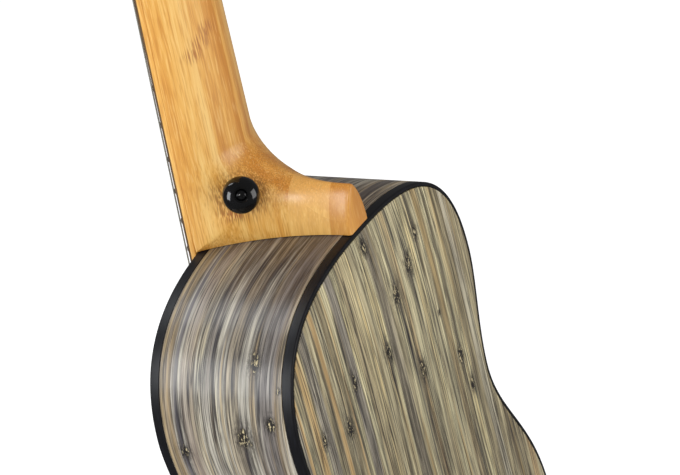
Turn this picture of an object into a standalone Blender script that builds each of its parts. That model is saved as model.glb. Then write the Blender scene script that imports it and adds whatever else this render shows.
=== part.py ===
"""Soprano ukulele: bamboo neck with a stacked heel, bound body and four open-geared tuners.

Metres, +Z up along the neck, +Y towards the back, +X towards the treble side. The origin is where a
hanger's yoke carries the instrument, between the shoulders of the headstock. The plane y = 0 is the
front of the soundboard, which the fretboard is glued level with.
"""

import math

import bmesh
import bpy
from mathutils import Matrix, Vector
from mathutils.bvhtree import BVHTree
from mathutils.geometry import interpolate_bezier

# Scale and neck
SCALE_LENGTH = 0.346
FRET_COUNT = 12
NUT_WIDTH = 0.035
JOINT_WIDTH = 0.0445
NUT_LENGTH = 0.005
FRETBOARD_THICKNESS = 0.0032
FRETBOARD_OVERHANG = 0.008
NECK_DEPTH = 0.0139
NECK_DEPTH_AT_NUT = 0.0108
NECK_ROUNDNESS = 1.52
SHOULDER_ABOVE_NUT = 0.008

# Heel, carved in one sweep from the neck's back to the heel cap
HEEL_HEIGHT = 0.016
HEEL_CAP_WIDTH = 0.0128
HEEL_SWEEP_DEEP = 0.033
HEEL_SWEEP_TALL = 0.016
HEEL_HOLLOW = 1.96
HEEL_ROUNDNESS = 1.57
HEEL_GLUE_LINES = (0.0297, 0.0432)

# Headstock
HEAD_LENGTH = 0.106
HEAD_TILT = math.radians(12.0)
HEAD_THICKNESS = 0.0115
HEAD_WIDTH = 0.051
HEAD_TOP_WIDTH = 0.055
HEAD_SHOULDER = 0.013
HEAD_CREST = 0.006
HEAD_ROUNDNESS = 9.0

# Body outline: widths, where each lies below the neck joint, and how full the curves between are
BODY_LENGTH = 0.240
UPPER_BOUT = 0.136
UPPER_BOUT_DROP = 0.0455
WAIST = 0.123
WAIST_DROP = 0.0895
LOWER_BOUT = 0.177
LOWER_BOUT_DROP = 0.168
TOP_FULLNESS = 0.48
SHOULDER_FULLNESS = 0.90
ABOVE_WAIST_FULLNESS = (0.30, 0.39)
BELOW_WAIST_FULLNESS = (0.30, 0.48)
TAIL_FULLNESS = (0.55, 0.55)
CURVE_STEPS = 8

# Body depth, soundboard face to the back's rim, and the back's crown
DEPTH_AT_NECK = 0.0505
DEPTH_AT_MIDDLE = 0.058
DEPTH_AT_TAIL = 0.063
BACK_CROWN = 0.0025
SOUNDBOARD_THICKNESS = 0.002
BACK_THICKNESS = 0.0022
SIDE_THICKNESS = 0.0024
BINDING_THICKNESS = 0.0014
BINDING_HEIGHT = 0.0034
BINDING_ROUND = 0.0007
SOUND_HOLE_RADIUS = 0.0245
SOUND_HOLE_DROP = 0.080
LINING_WIDTH = 0.0042
LINING_HEIGHT = 0.010
NECK_BLOCK_WIDTH = 0.046
NECK_BLOCK_LENGTH = 0.020
TAIL_BLOCK_WIDTH = 0.056
TAIL_BLOCK_LENGTH = 0.012
BRACE_WIDTH = 0.006
BRACE_HEIGHT = 0.0075
SOUNDBOARD_BRACE_DROPS = (0.042, 0.116)
BACK_BRACE_DROPS = (0.056, 0.168)
BRIDGE_PLATE = (0.062, 0.024, 0.0016)

# Strings, bridge, nut and frets
STRING_NAMES = ("g", "c", "e", "a")
STRING_DIAMETERS = (0.0006, 0.0008, 0.00066, 0.00056)
STRING_SPREAD_AT_NUT = 0.028
STRING_SPREAD_AT_SADDLE = 0.040
ACTION_AT_NUT = 0.0005
ACTION_AT_TWELFTH = 0.0026
FRET_CROWN_HEIGHT = 0.0010
FRET_CROWN_WIDTH = 0.0021
FRET_TANG_DEPTH = 0.0014
FRET_TANG_WIDTH = 0.0006
FRET_END_INSET = 0.0006
FRET_END_BEVEL = 0.0017
NUT_ABOVE_STRINGS = 0.0007
BRIDGE_LENGTH = 0.072
BRIDGE_WIDTH = 0.018
BRIDGE_HEIGHT = 0.0042
TIE_BLOCK_LENGTH = 0.049
TIE_BLOCK_WIDTH = 0.0078
TIE_BLOCK_HEIGHT = 0.0072
TIE_HOLE_HEIGHT = 0.0052
TIE_HOLE_RADIUS = 0.0009
SADDLE_LENGTH = 0.045
SADDLE_THICKNESS = 0.0024
SADDLE_SLOT_DEPTH = 0.0028
SADDLE_INSET = 0.0045
STRING_TAIL = 0.0015

# Tuners
POST_SPREAD = 0.027
POST_RISES = {"g": 0.032, "c": 0.068, "e": 0.068, "a": 0.032}
POST_RADIUS = 0.0030
POST_PROUD = 0.0105
POST_WAIST_RADIUS = 0.0025
POST_HOLE_RADIUS = 0.0008
WINDING_TURNS = 2.25
WINDING_START = 0.0022
WINDING_STEP_CLEARANCE = 0.0005
BUSHING_WALL = 0.00055
BUSHING_LENGTH = 0.007
BUSHING_FLANGE_RADIUS = 0.0050
BUSHING_FLANGE_THICKNESS = 0.0010
GEAR_TEETH = 14
GEAR_MODULE = 0.0006
GEAR_THICKNESS = 0.0030
WORM_PITCH_RADIUS = 0.0024
WORM_TURNS = 3.5
WORM_STEPS = 12
TOOTH_SLACK = 0.00028
PRESSURE_ANGLE = math.radians(20.0)
PLATE_LENGTH = 0.024
PLATE_WIDTH = 0.0135
PLATE_THICKNESS = 0.0010
PLATE_BELOW_POST = 0.0085
PLATE_HOLE_RADIUS = 0.0012
LUG_THICKNESS = 0.0011
LUG_WIDTH = 0.0070
KEY_SHAFT_RADIUS = 0.0016
KEY_COLLAR_RADIUS = 0.0026
KEY_COLLAR_LENGTH = 0.0035
KEY_BUTTON = (0.0150, 0.0070, 0.0120)
KEY_REACH = 0.0030

# Strap buttons and their screws
BUTTON_RADIUS = 0.0062
BUTTON_HEIGHT = 0.0085
BUTTON_WAIST_RADIUS = 0.0034
BUTTON_FOOT_RADIUS = 0.0046
BUTTON_RECESS_RADIUS = 0.0030
BUTTON_RECESS_DEPTH = 0.0022
SCREW_SHANK_RADIUS = 0.0014
SCREW_LENGTH = 0.020
HEEL_BUTTON_DEPTH = 0.0161
HEEL_BUTTON_RISE = 0.0167

# Clearances
GAP = 0.0003
RUNNING_GAP = 0.00035

# Facets
NECK_SIDES = 16
NECK_FRONT_COLUMNS = 4
TURNED_SIDES = 16
WINDING_STEPS = 24

# Places that follow from the sizes above
NUT_TOP = -SHOULDER_ABOVE_NUT
FRET_ZERO = NUT_TOP - NUT_LENGTH
JOINT = FRET_ZERO - SCALE_LENGTH / 2
SADDLE_LINE = FRET_ZERO - SCALE_LENGTH
TAIL = JOINT - BODY_LENGTH
SWEEP_CENTRE = (NECK_DEPTH + HEEL_SWEEP_DEEP, HEEL_HEIGHT + HEEL_SWEEP_TALL)
BUSHING_BORE = POST_RADIUS + RUNNING_GAP
BUSHING_RADIUS = BUSHING_BORE + BUSHING_WALL
GEAR_PITCH_RADIUS = GEAR_MODULE * GEAR_TEETH / 2
GEAR_TIP_RADIUS = GEAR_PITCH_RADIUS + 0.9 * GEAR_MODULE
GEAR_ROOT_RADIUS = GEAR_PITCH_RADIUS - 1.4 * GEAR_MODULE
WORM_TIP_RADIUS = WORM_PITCH_RADIUS + GEAR_MODULE
WORM_LEAD = math.pi * GEAR_MODULE
CENTRE_DISTANCE = GEAR_PITCH_RADIUS + WORM_PITCH_RADIUS
PLATE_BACK = HEAD_THICKNESS + GAP + PLATE_THICKNESS
WORM_DEPTH = PLATE_BACK + GAP + WORM_TIP_RADIUS
LUG_OFFSET = WORM_LEAD * (WORM_TURNS + 1) / 2 + GAP
HEAD_FRAME = Matrix.Translation((0, 0, NUT_TOP)) @ Matrix.Rotation(-HEAD_TILT, 4, "X")

# Finishes: colour, roughness, metallic
FINISHES = {
    "bamboo_neck": ((0.72, 0.42, 0.15), 0.35, 0.0),
    "bamboo_light": ((0.78, 0.50, 0.22), 0.35, 0.0),
    "bamboo_grey": ((0.36, 0.33, 0.26), 0.40, 0.0),
    "softwood": ((0.66, 0.50, 0.32), 0.70, 0.0),
    "black_plastic": ((0.012, 0.012, 0.014), 0.30, 0.0),
    "black_wood": ((0.05, 0.03, 0.02), 0.50, 0.0),
    "bone": ((0.80, 0.76, 0.66), 0.40, 0.0),
    "nickel": ((0.65, 0.63, 0.60), 0.25, 1.0),
    "brass": ((0.72, 0.52, 0.22), 0.30, 1.0),
    "steel": ((0.50, 0.50, 0.50), 0.30, 1.0),
    "string_nylon": ((0.80, 0.78, 0.74), 0.30, 0.0),
}


def material(name, finish):
    """One Principled material in the colour, roughness and metallic value of a finish."""
    colour, roughness, metallic = FINISHES[finish]
    made = bpy.data.materials.new(name)
    made.use_nodes = True
    shader = made.node_tree.nodes["Principled BSDF"]
    shader.inputs["Base Color"].default_value = (*colour, 1.0)
    shader.inputs["Roughness"].default_value = roughness
    shader.inputs["Metallic"].default_value = metallic
    return made


def place(name, data, finish, frame=None, location=(0, 0, 0)):
    """Makes the object of one sub-part, under an empty where it has a frame of its own."""
    obj = bpy.data.objects.new(name, data)
    data.materials.clear()
    data.materials.append(material(name, finish))
    bpy.context.scene.collection.objects.link(obj)
    obj.parent = frame
    obj.location = location
    return obj


def mesh_of(name, bm, sharp=35.0):
    """Turns a bmesh into a mesh with its faces outwards, shaded smooth but for its sharp edges."""
    bmesh.ops.recalc_face_normals(bm, faces=bm.faces)
    mesh = bpy.data.meshes.new(name)
    bm.to_mesh(mesh)
    bm.free()
    mesh.shade_smooth()
    mesh.set_sharp_from_angle(angle=math.radians(sharp))
    return mesh


def loft(sections, closed=False):
    """A solid through sections of equally many points, with end faces unless it closes on itself."""
    bm = bmesh.new()
    rows = [[bm.verts.new(point) for point in section] for section in sections]
    for row, following in zip(rows, rows[1:] + rows[:1] if closed else rows[1:]):
        for i in range(len(row)):
            bm.faces.new((row[i - 1], row[i], following[i], following[i - 1]))
    if not closed:
        bm.faces.new(rows[0])
        bm.faces.new(rows[-1])
    return bm


def circle(radius, height, sides, axis):
    """Points of a circle about an axis through the origin, at a height along it."""
    points = []
    for step in range(sides):
        angle = 2 * math.pi * (step + 0.5) / sides
        a = radius * math.cos(angle)
        b = radius * math.sin(angle)
        points.append({"X": (height, a, b), "Y": (a, height, b), "Z": (a, b, height)}[axis])
    return points


def turned(profile, axis, sides=TURNED_SIDES):
    """A turned solid from (radius, height) points along its axis."""
    return loft([circle(radius, height, sides, axis) for radius, height in profile])


def turned_ring(profile, axis, sides=TURNED_SIDES):
    """A turned ring, from a closed profile that stays off its axis."""
    rings = [circle(radius, height, sides, axis) for radius, height in profile]
    return loft(rings, closed=True)


def box(low, high):
    """A box between two corners."""
    corners = [(low[0], low[1]), (high[0], low[1]), (high[0], high[1]), (low[0], high[1])]
    return loft([[(x, y, z) for x, y in corners] for z in (low[2], high[2])])


def moved(bm, offset):
    """The same bmesh, moved."""
    bmesh.ops.translate(bm, vec=offset, verts=bm.verts)
    return bm


def carved(name, bm, joins=(), cuts=()):
    """A mesh after its Boolean unions and cuts, each with its own helper solid."""
    base = bpy.data.objects.new(name, mesh_of(name, bm))
    helpers = [base]
    bpy.context.scene.collection.objects.link(base)
    for operation, tools in (("UNION", joins), ("DIFFERENCE", cuts)):
        for tool in tools:
            helper = bpy.data.objects.new(name + "_tool", mesh_of(name + "_tool", tool))
            bpy.context.scene.collection.objects.link(helper)
            helper.hide_render = True
            helper.display_type = "WIRE"
            helpers.append(helper)
            modifier = base.modifiers.new(operation.title(), "BOOLEAN")
            modifier.operation = operation
            modifier.solver = "EXACT"
            modifier.object = helper
    graph = bpy.context.evaluated_depsgraph_get()
    result = bpy.data.meshes.new_from_object(base.evaluated_get(graph))
    result.name = name
    for helper in helpers:
        bpy.data.objects.remove(helper)
    return result


def mirrored(mesh):
    """A copy of a mesh for the other side, x turned round."""
    bm = bmesh.new()
    bm.from_mesh(mesh)
    bmesh.ops.transform(bm, matrix=Matrix.Diagonal((-1, 1, 1, 1)), verts=bm.verts)
    return mesh_of(mesh.name + "_mirrored", bm)


def half_outline():
    """The treble half of the body's outline from the neck joint to the tail, as x and drop."""
    top = Vector((0, 0))
    bout = Vector((UPPER_BOUT / 2, UPPER_BOUT_DROP))
    waist = Vector((WAIST / 2, WAIST_DROP))
    wide = Vector((LOWER_BOUT / 2, LOWER_BOUT_DROP))
    tail = Vector((0, BODY_LENGTH))
    across = Vector((1, 0))
    down = Vector((0, 1))
    above = WAIST_DROP - UPPER_BOUT_DROP
    below = LOWER_BOUT_DROP - WAIST_DROP
    end = BODY_LENGTH - LOWER_BOUT_DROP
    handles = (
        (across * bout.x * TOP_FULLNESS, -down * UPPER_BOUT_DROP * SHOULDER_FULLNESS),
        (down * above * ABOVE_WAIST_FULLNESS[0], -down * above * ABOVE_WAIST_FULLNESS[1]),
        (down * below * BELOW_WAIST_FULLNESS[0], -down * below * BELOW_WAIST_FULLNESS[1]),
        (down * end * TAIL_FULLNESS[0], across * wide.x * TAIL_FULLNESS[1]),
    )
    knots = (top, bout, waist, wide, tail)
    points = [top]
    for start, finish, (leaving, arriving) in zip(knots, knots[1:], handles):
        curve = (start, start + leaving, finish + arriving, finish)
        points += interpolate_bezier(*curve, CURVE_STEPS + 1)[1:]
    return points


def outline_normals(points):
    """Mitred outward normals, so that every offset of the faceted outline is parallel to it."""
    ring = [Vector((-points[1].x, points[1].y))] + points + [Vector((-points[-2].x, points[-2].y))]
    normals = []
    for before, here, after in zip(ring, ring[1:], ring[2:]):
        first = (here - before).normalized()
        second = (after - here).normalized()
        a = Vector((first.y, -first.x))
        b = Vector((second.y, -second.x))
        normals.append((a + b) / (1 + a.dot(b)))
    return normals


OUTLINE = half_outline()
NORMALS = outline_normals(OUTLINE)


def offset_half(offset):
    """The treble half of the outline moved outwards by an offset, as x and height."""
    moved_points = [point + normal * offset for point, normal in zip(OUTLINE, NORMALS)]
    return [(point.x, JOINT - point.y) for point in moved_points]


def whole_outline(offset):
    """The outline moved outwards by an offset, all the way round."""
    half = offset_half(offset)
    return half + [(-x, z) for x, z in half[-2:0:-1]]


def half_width_at(z, offset):
    """Half of the body's width at a height, on the outline moved outwards by an offset."""
    half = offset_half(offset)
    for (x0, z0), (x1, z1) in zip(half, half[1:]):
        if z1 <= z <= z0:
            return x0 + (x1 - x0) * (z0 - z) / (z0 - z1)
    return 0.0


def end_height_at(x, offset, half):
    """The height of the outline over x, from the end that the half starts with."""
    for (x0, z0), (x1, z1) in zip(half, half[1:]):
        if x0 <= abs(x) <= x1:
            return z0 + (z1 - z0) * (abs(x) - x0) / (x1 - x0)
    return half[0][1]


def top_of_body(x, offset):
    """The height of the body's upper end over x."""
    return end_height_at(x, offset, offset_half(offset))


def bottom_of_body(x, offset):
    """The height of the body's lower end over x."""
    return end_height_at(x, offset, offset_half(offset)[::-1])


def rim_depth(z):
    """How far back the rim lies at a height: a parabola through the three depths."""
    t = (JOINT - z) / BODY_LENGTH
    near = DEPTH_AT_NECK * (1 - t) * (1 - 2 * t)
    return near + DEPTH_AT_MIDDLE * 4 * t * (1 - t) + DEPTH_AT_TAIL * t * (2 * t - 1)


def back_depth(x, z):
    """How far back the crowned back lies over a point of the outline's plane."""
    width = half_width_at(z, -BINDING_THICKNESS - GAP)
    if width <= abs(x):
        return rim_depth(z)
    crown = BACK_CROWN * (2 * width / LOWER_BOUT) ** 2
    return rim_depth(z) + crown * (1 - (x / width) ** 2)


def make_soundboard():
    """Flat plate inside the binding, with the sound hole."""
    outline = whole_outline(-BINDING_THICKNESS - GAP)
    bm = loft([[(x, y, z) for x, z in outline] for y in (0, SOUNDBOARD_THICKNESS)])
    hole = turned(
        ((SOUND_HOLE_RADIUS, -GAP), (SOUND_HOLE_RADIUS, SOUNDBOARD_THICKNESS + GAP)), "Y", 2 * TURNED_SIDES
    )
    moved(hole, (0, 0, JOINT - SOUND_HOLE_DROP))
    place("soundboard", carved("soundboard", bm, cuts=[hole]), "bamboo_light")


def make_back_plate():
    """Back plate inside the binding, crowned across and arched along its length."""
    half = offset_half(-BINDING_THICKNESS - GAP)
    columns = [-1, -0.6, 0, 0.6, 1]
    bm = bmesh.new()
    rows = []
    for x, z in half:
        shares = columns if x > GAP else [0]
        back = [bm.verts.new((x * share, back_depth(x * share, z), z)) for share in shares]
        inner = [bm.verts.new(vert.co - Vector((0, BACK_THICKNESS, 0))) for vert in back]
        rows.append((back, inner))
    for (back, inner), (next_back, next_inner) in zip(rows, rows[1:]):
        for row, following in ((back, next_back), (inner, next_inner)):
            fill_between(bm, row, following)
        bm.faces.new((back[0], inner[0], next_inner[0], next_back[0]))
        bm.faces.new((back[-1], inner[-1], next_inner[-1], next_back[-1]))
    place("back_plate", mesh_of("back_plate", bm), "bamboo_grey")


def fill_between(bm, row, following):
    """Faces between two rows of points, of which one may be a single point."""
    for i in range(max(len(row), len(following)) - 1):
        corners = list(row[i : i + 2] if len(row) > 1 else row)
        corners += reversed(following[i : i + 2] if len(following) > 1 else following)
        bm.faces.new(corners)


def make_side(name, hand):
    """One bent rib with a rebate along both edges, where the bindings sit, and its half of the
    end button's screw hole."""
    rebate = -BINDING_THICKNESS - GAP
    sections = []
    for i, (point, normal) in enumerate(zip(OUTLINE, NORMALS)):
        ends = GAP / 2 if i in (0, len(OUTLINE) - 1) else 0
        rim = rim_depth(JOINT - point.y)
        front = SOUNDBOARD_THICKNESS + GAP
        back = rim - BACK_THICKNESS - GAP
        front_step = BINDING_HEIGHT + GAP
        back_step = rim - BINDING_HEIGHT - GAP
        profile = (
            (0, front_step),
            (0, back_step),
            (rebate, back_step),
            (rebate, back),
            (-SIDE_THICKNESS, back),
            (-SIDE_THICKNESS, front),
            (rebate, front),
            (rebate, front_step),
        )
        section = []
        for offset, y in profile:
            place_at = point + normal * offset
            section.append((hand * (place_at.x + ends), y, JOINT - place_at.y))
        sections.append(section)
    hole = screw_hole(end_button_frame())
    place(name, carved(name, loft(sections), cuts=[hole]), "bamboo_grey")


def make_binding(name, on_back):
    """A black strip bent round the body's edge, its outer corner rounded over."""
    corner = BINDING_ROUND
    eased = corner * (1 - math.sqrt(0.5))
    profile = (
        (-BINDING_THICKNESS, 0),
        (-corner, 0),
        (-eased, eased),
        (0, corner),
        (0, BINDING_HEIGHT),
        (-BINDING_THICKNESS, BINDING_HEIGHT),
    )
    rings = []
    for offset, rise in profile:
        ring = []
        for (x, z), (_, rim_z) in zip(whole_outline(offset), whole_outline(0)):
            y = rim_depth(rim_z) - rise if on_back else rise
            ring.append((x, y, z))
        rings.append(ring)
    place(name, mesh_of(name, loft(rings, closed=True)), "black_plastic")


def make_lining(name, hand, on_back):
    """A tapered strip glued inside a rib, which widens the edge that the plate is glued to."""
    outer = -SIDE_THICKNESS - GAP
    sections = []
    for (x, z), (inner_x, inner_z), drop in zip(
        offset_half(outer), offset_half(outer - LINING_WIDTH), [point.y for point in OUTLINE]
    ):
        block = NECK_BLOCK_WIDTH if drop < BODY_LENGTH / 2 else TAIL_BLOCK_WIDTH
        if inner_x < block / 2 + GAP:
            continue
        rim = rim_depth(JOINT - drop)
        start = rim - BACK_THICKNESS - GAP if on_back else SOUNDBOARD_THICKNESS + GAP
        inwards = -1 if on_back else 1
        tall = start + inwards * LINING_HEIGHT
        short = start + inwards * LINING_HEIGHT / 2
        section = [(x, start, z), (x, tall, z), (inner_x, short, inner_z), (inner_x, start, inner_z)]
        sections.append([(hand * px, py, pz) for px, py, pz in section])
    place(name, mesh_of(name, loft(sections)), "softwood")


def make_block(name, width, length, end_height, inwards):
    """A block glued inside the neck end or the tail end, between soundboard and back."""
    outer = -SIDE_THICKNESS - GAP
    columns = [width * (share / 6 - 0.5) for share in range(7)]
    edge = [(x, end_height(x, outer)) for x in columns]
    far = end_height(0, outer) + inwards * length
    outline = edge + [(width / 2, far), (-width / 2, far)]
    front = [(x, SOUNDBOARD_THICKNESS + GAP, z) for x, z in outline]
    back = [(x, rim_depth(z) - BACK_THICKNESS - GAP, z) for x, z in outline]
    return loft([front, back])


def make_blocks():
    """The neck block, and the tail block with the hole that the end button's screw bites in."""
    neck_block = make_block("neck_block", NECK_BLOCK_WIDTH, NECK_BLOCK_LENGTH, top_of_body, -1)
    place("neck_block", mesh_of("neck_block", neck_block), "softwood")
    tail_block = make_block("tail_block", TAIL_BLOCK_WIDTH, TAIL_BLOCK_LENGTH, bottom_of_body, 1)
    hole = screw_hole(end_button_frame())
    place("tail_block", carved("tail_block", tail_block, cuts=[hole]), "softwood")


def make_brace(name, drop, on_back):
    """A bar across the body, thinned towards its ends and glued to the inside of a plate."""
    z = JOINT - drop
    edges = (z - BRACE_WIDTH / 2, z, z + BRACE_WIDTH / 2)
    reach = min(half_width_at(edge, -SIDE_THICKNESS - LINING_WIDTH - 3 * GAP) for edge in edges)
    shares = [-1, -0.8, -0.45, 0, 0.45, 0.8, 1]
    heights = [0.35, 0.75, 1, 1, 1, 0.75, 0.35]
    sections = []
    for share, height in zip(shares, heights):
        x = reach * share
        tall = BRACE_HEIGHT * height
        section = []
        for half, rise in ((-0.5, 0), (0.5, 0), (0.5, 0.7), (0.2, 1), (-0.2, 1), (-0.5, 0.7)):
            across = z + BRACE_WIDTH * half
            if on_back:
                y = back_depth(x, across) - BACK_THICKNESS - GAP - tall * rise
            else:
                y = SOUNDBOARD_THICKNESS + GAP + tall * rise
            section.append((x, y, across))
        sections.append(section)
    place(name, mesh_of(name, loft(sections)), "softwood")


def make_bridge_plate():
    """A thin hardwood plate inside the soundboard, under the bridge."""
    length, width, thickness = BRIDGE_PLATE
    centre = SADDLE_LINE + SADDLE_INSET - BRIDGE_WIDTH / 2
    front = SOUNDBOARD_THICKNESS + GAP
    bm = box(
        (-length / 2, front, centre - width / 2), (length / 2, front + thickness, centre + width / 2)
    )
    place("bridge_plate", mesh_of("bridge_plate", bm), "softwood")


def board_half_width(z):
    """Half of the fretboard's width at a height. The neck's sides run on from it."""
    share = (z - JOINT) / (FRET_ZERO - JOINT)
    return (JOINT_WIDTH + (NUT_WIDTH - JOINT_WIDTH) * min(share, 1)) / 2


def heel_foot_half_width(depth):
    """Half of the heel's width where it meets the side, narrowing in a hollow to the heel cap."""
    share = max(0.0, 1 - depth / DEPTH_AT_NECK)
    cap = HEEL_CAP_WIDTH / 2
    return cap + (JOINT_WIDTH / 2 - cap) * share**HEEL_HOLLOW


def carve_section(base, ridge, half_width, roundness, on_side):
    """One section of the neck and heel: over the ridge from edge to edge, then back along its foot."""
    section = []
    power = 2 / roundness
    for step in range(NECK_SIDES + 1):
        angle = math.pi * step / NECK_SIDES
        cosine = math.cos(angle)
        x = half_width * math.copysign(abs(cosine) ** power, cosine)
        rise = abs(math.sin(angle)) ** power
        y = base[0] + (ridge[0] - base[0]) * rise
        z = base[1] + (ridge[1] - base[1]) * rise
        if on_side:
            z += (top_of_body(x, GAP) - JOINT) * (1 - rise)
        section.append((x, y, JOINT + z))
    for column in range(1, NECK_FRONT_COLUMNS):
        x = half_width * (2 * column / NECK_FRONT_COLUMNS - 1)
        z = top_of_body(x, GAP) if on_side else JOINT + base[1]
        section.append((x, base[0], z))
    return section


def heel_sections():
    """Sections turning about the centre of the heel's sweep, from the cap to where the neck starts."""
    centre_y, centre_z = SWEEP_CENTRE
    corner = math.atan2(centre_z * HEEL_SWEEP_DEEP, centre_y * HEEL_SWEEP_TALL)
    sections = []
    for depth in (DEPTH_AT_NECK, (DEPTH_AT_NECK + centre_y) / 2):
        width = heel_foot_half_width(depth)
        sections.append(
            carve_section((depth, 0), (depth, HEEL_HEIGHT), width, HEEL_ROUNDNESS, True)
        )
    angles = [math.pi / 2 + (corner - math.pi / 2) * step / 8 for step in range(9)]
    angles += [corner * (1 - step / 6) for step in range(1, 7)]
    for angle in angles:
        deep = HEEL_SWEEP_DEEP * math.cos(angle)
        tall = HEEL_SWEEP_TALL * math.sin(angle)
        ridge = (centre_y - deep, centre_z - tall)
        on_side = angle >= corner - 1e-9
        if on_side:
            reach = centre_z / tall
            base = (centre_y - deep * reach, 0)
            width = heel_foot_half_width(base[0])
        else:
            reach = centre_y / deep
            base = (0, centre_z - tall * reach)
            width = board_half_width(JOINT + base[1])
        blend = angle / (math.pi / 2)
        roundness = NECK_ROUNDNESS + (HEEL_ROUNDNESS - NECK_ROUNDNESS) * blend
        sections.append(carve_section(base, ridge, width, roundness, on_side))
    return sections


def neck_sections():
    """Sections of the neck from the heel's sweep to the nut."""
    start = SWEEP_CENTRE[1]
    end = NUT_TOP - JOINT
    sections = []
    steps = 3
    for step in range(1, steps + 1):
        z = start + (end - start) * step / steps
        depth = NECK_DEPTH + (NECK_DEPTH_AT_NUT - NECK_DEPTH) * step / steps
        width = board_half_width(JOINT + z)
        sections.append(carve_section((0, z), (depth, z), width, NECK_ROUNDNESS, False))
    return sections


def smooth(share):
    """A share eased in and out."""
    share = min(max(share, 0.0), 1.0)
    return share * share * (3 - 2 * share)


def head_half_width(rise):
    """Half of the headstock's width at a distance from the nut: shoulders, then a slow flare."""
    shoulder = smooth((rise - 0.25 * HEAD_SHOULDER) / HEAD_SHOULDER)
    flare = (HEAD_TOP_WIDTH - HEAD_WIDTH) * rise / HEAD_LENGTH
    return (NUT_WIDTH + (HEAD_WIDTH - NUT_WIDTH) * shoulder + flare * shoulder) / 2


def head_sections():
    """Sections of the headstock, tilted back from the nut, with a crest along its top."""
    shares = (0.30, 0.55, 0.75, 0.95, 1.15, 1.4)
    rises = [HEAD_SHOULDER * share for share in shares]
    rises += [HEAD_LENGTH * share for share in (0.45, 0.72, 0.80, 0.955, 0.99, 1.0)]
    insets = [0] * 9 + [0.0002, 0.0012, 0.0035]
    sections = []
    for rise, inset in zip(rises, insets):
        settled = smooth(rise / (1.6 * HEAD_SHOULDER))
        thickness = NECK_DEPTH_AT_NUT + (HEAD_THICKNESS - NECK_DEPTH_AT_NUT) * settled
        roundness = NECK_ROUNDNESS + (HEAD_ROUNDNESS - NECK_ROUNDNESS) * settled**2
        width = head_half_width(rise) - inset
        section = carve_section((0, 0), (thickness, 0), width, roundness, False)
        crest = HEAD_CREST * smooth((rise / HEAD_LENGTH - 0.8) / 0.2)
        tilted = []
        for x, y, _ in section:
            lift = rise - crest * math.sin(math.pi * min(abs(x) / width, 1)) ** 2 * 0.5
            lift -= crest * 0.5 * (x / width) ** 2
            tilted.append(HEAD_FRAME @ Vector((x, y, lift)))
        sections.append(tilted)
    return sections


def sliced(bm, low, high):
    """The part of a solid between two depths, its cut faces closed."""
    for depth, direction in ((low, -1), (high, 1)):
        if depth is None:
            continue
        geometry = bm.verts[:] + bm.edges[:] + bm.faces[:]
        bmesh.ops.bisect_plane(
            bm, geom=geometry, plane_co=(0, depth, 0), plane_no=(0, direction, 0), clear_outer=True
        )
        rim = [edge for edge in bm.edges if edge.is_boundary]
        bmesh.ops.holes_fill(bm, edges=rim)
    return bm


def make_neck():
    """The neck with its headstock, and the two blocks stacked under it and carved with it as the heel."""
    first, second = HEEL_GLUE_LINES
    sections = heel_sections() + neck_sections() + head_sections()
    holes = []
    for string in STRING_NAMES:
        radius = BUSHING_RADIUS + GAP
        hole = turned(((radius, -0.01), (radius, HEAD_THICKNESS + 0.01)), "Y")
        moved(hole, post_place(string))
        bmesh.ops.transform(hole, matrix=HEAD_FRAME, verts=hole.verts)
        holes.append(hole)
    shaft = sliced(loft(sections), None, first - GAP / 2)
    holes.append(screw_hole(heel_button_frame()))
    place("neck_shaft", carved("neck_shaft", shaft, cuts=holes), "bamboo_neck")
    block = sliced(loft(heel_sections()), first + GAP / 2, second - GAP / 2)
    place("heel_block", mesh_of("heel_block", block), "bamboo_light")
    cap = sliced(loft(heel_sections()), second + GAP / 2, None)
    place("heel_cap", mesh_of("heel_cap", cap), "bamboo_neck")


def fret_height(number):
    """The height of a fret, by the twelfth root of two."""
    return FRET_ZERO - SCALE_LENGTH * (1 - 2 ** (-number / 12))


def make_fretboard():
    """The fretboard, slotted for its frets and running a little way over the soundboard."""
    slot = FRET_TANG_WIDTH / 2 + GAP
    floor = -FRETBOARD_THICKNESS + FRET_TANG_DEPTH + GAP
    profile = [(-GAP, FRET_ZERO), (-FRETBOARD_THICKNESS, FRET_ZERO)]
    for number in range(1, FRET_COUNT + 1):
        z = fret_height(number)
        profile.append((-FRETBOARD_THICKNESS, z + slot))
        profile.append((floor, z + slot))
        profile.append((floor, z - slot))
        profile.append((-FRETBOARD_THICKNESS, z - slot))
    profile.append((-FRETBOARD_THICKNESS, JOINT - FRETBOARD_OVERHANG))
    profile.append((-GAP, JOINT - FRETBOARD_OVERHANG))
    sections = [[(hand * board_half_width(z), y, z) for y, z in profile] for hand in (-1, 1)]
    place("fretboard", mesh_of("fretboard", loft(sections)), "bamboo_neck")


def make_frets():
    """Twelve lengths of fret wire: a low crown, bevelled at both ends, over a tang in its slot."""
    for number in range(1, FRET_COUNT + 1):
        z = fret_height(number)
        reach = board_half_width(z) - FRET_END_INSET
        top = -FRETBOARD_THICKNESS - GAP
        tang = top + FRET_TANG_DEPTH + GAP
        half = FRET_CROWN_WIDTH / 2
        profile = [(tang, -FRET_TANG_WIDTH / 2), (top, -FRET_TANG_WIDTH / 2)]
        for step in range(5):
            angle = math.pi * (step / 4 - 0.5)
            profile.append((top - FRET_CROWN_HEIGHT * math.cos(angle), half * math.sin(angle)))
        profile += [(top, FRET_TANG_WIDTH / 2), (tang, FRET_TANG_WIDTH / 2)]
        full = reach - FRET_END_BEVEL
        sections = []
        for x, height in ((-reach, 0.25), (-full, 1), (full, 1), (reach, 0.25)):
            section = [(top + (y - top) * height if y < top else y, dz) for y, dz in profile]
            sections.append([(x, y, z + dz) for y, dz in section])
        name = f"fret_{number:02d}"
        place(name, mesh_of(name, loft(sections)), "nickel")


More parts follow.
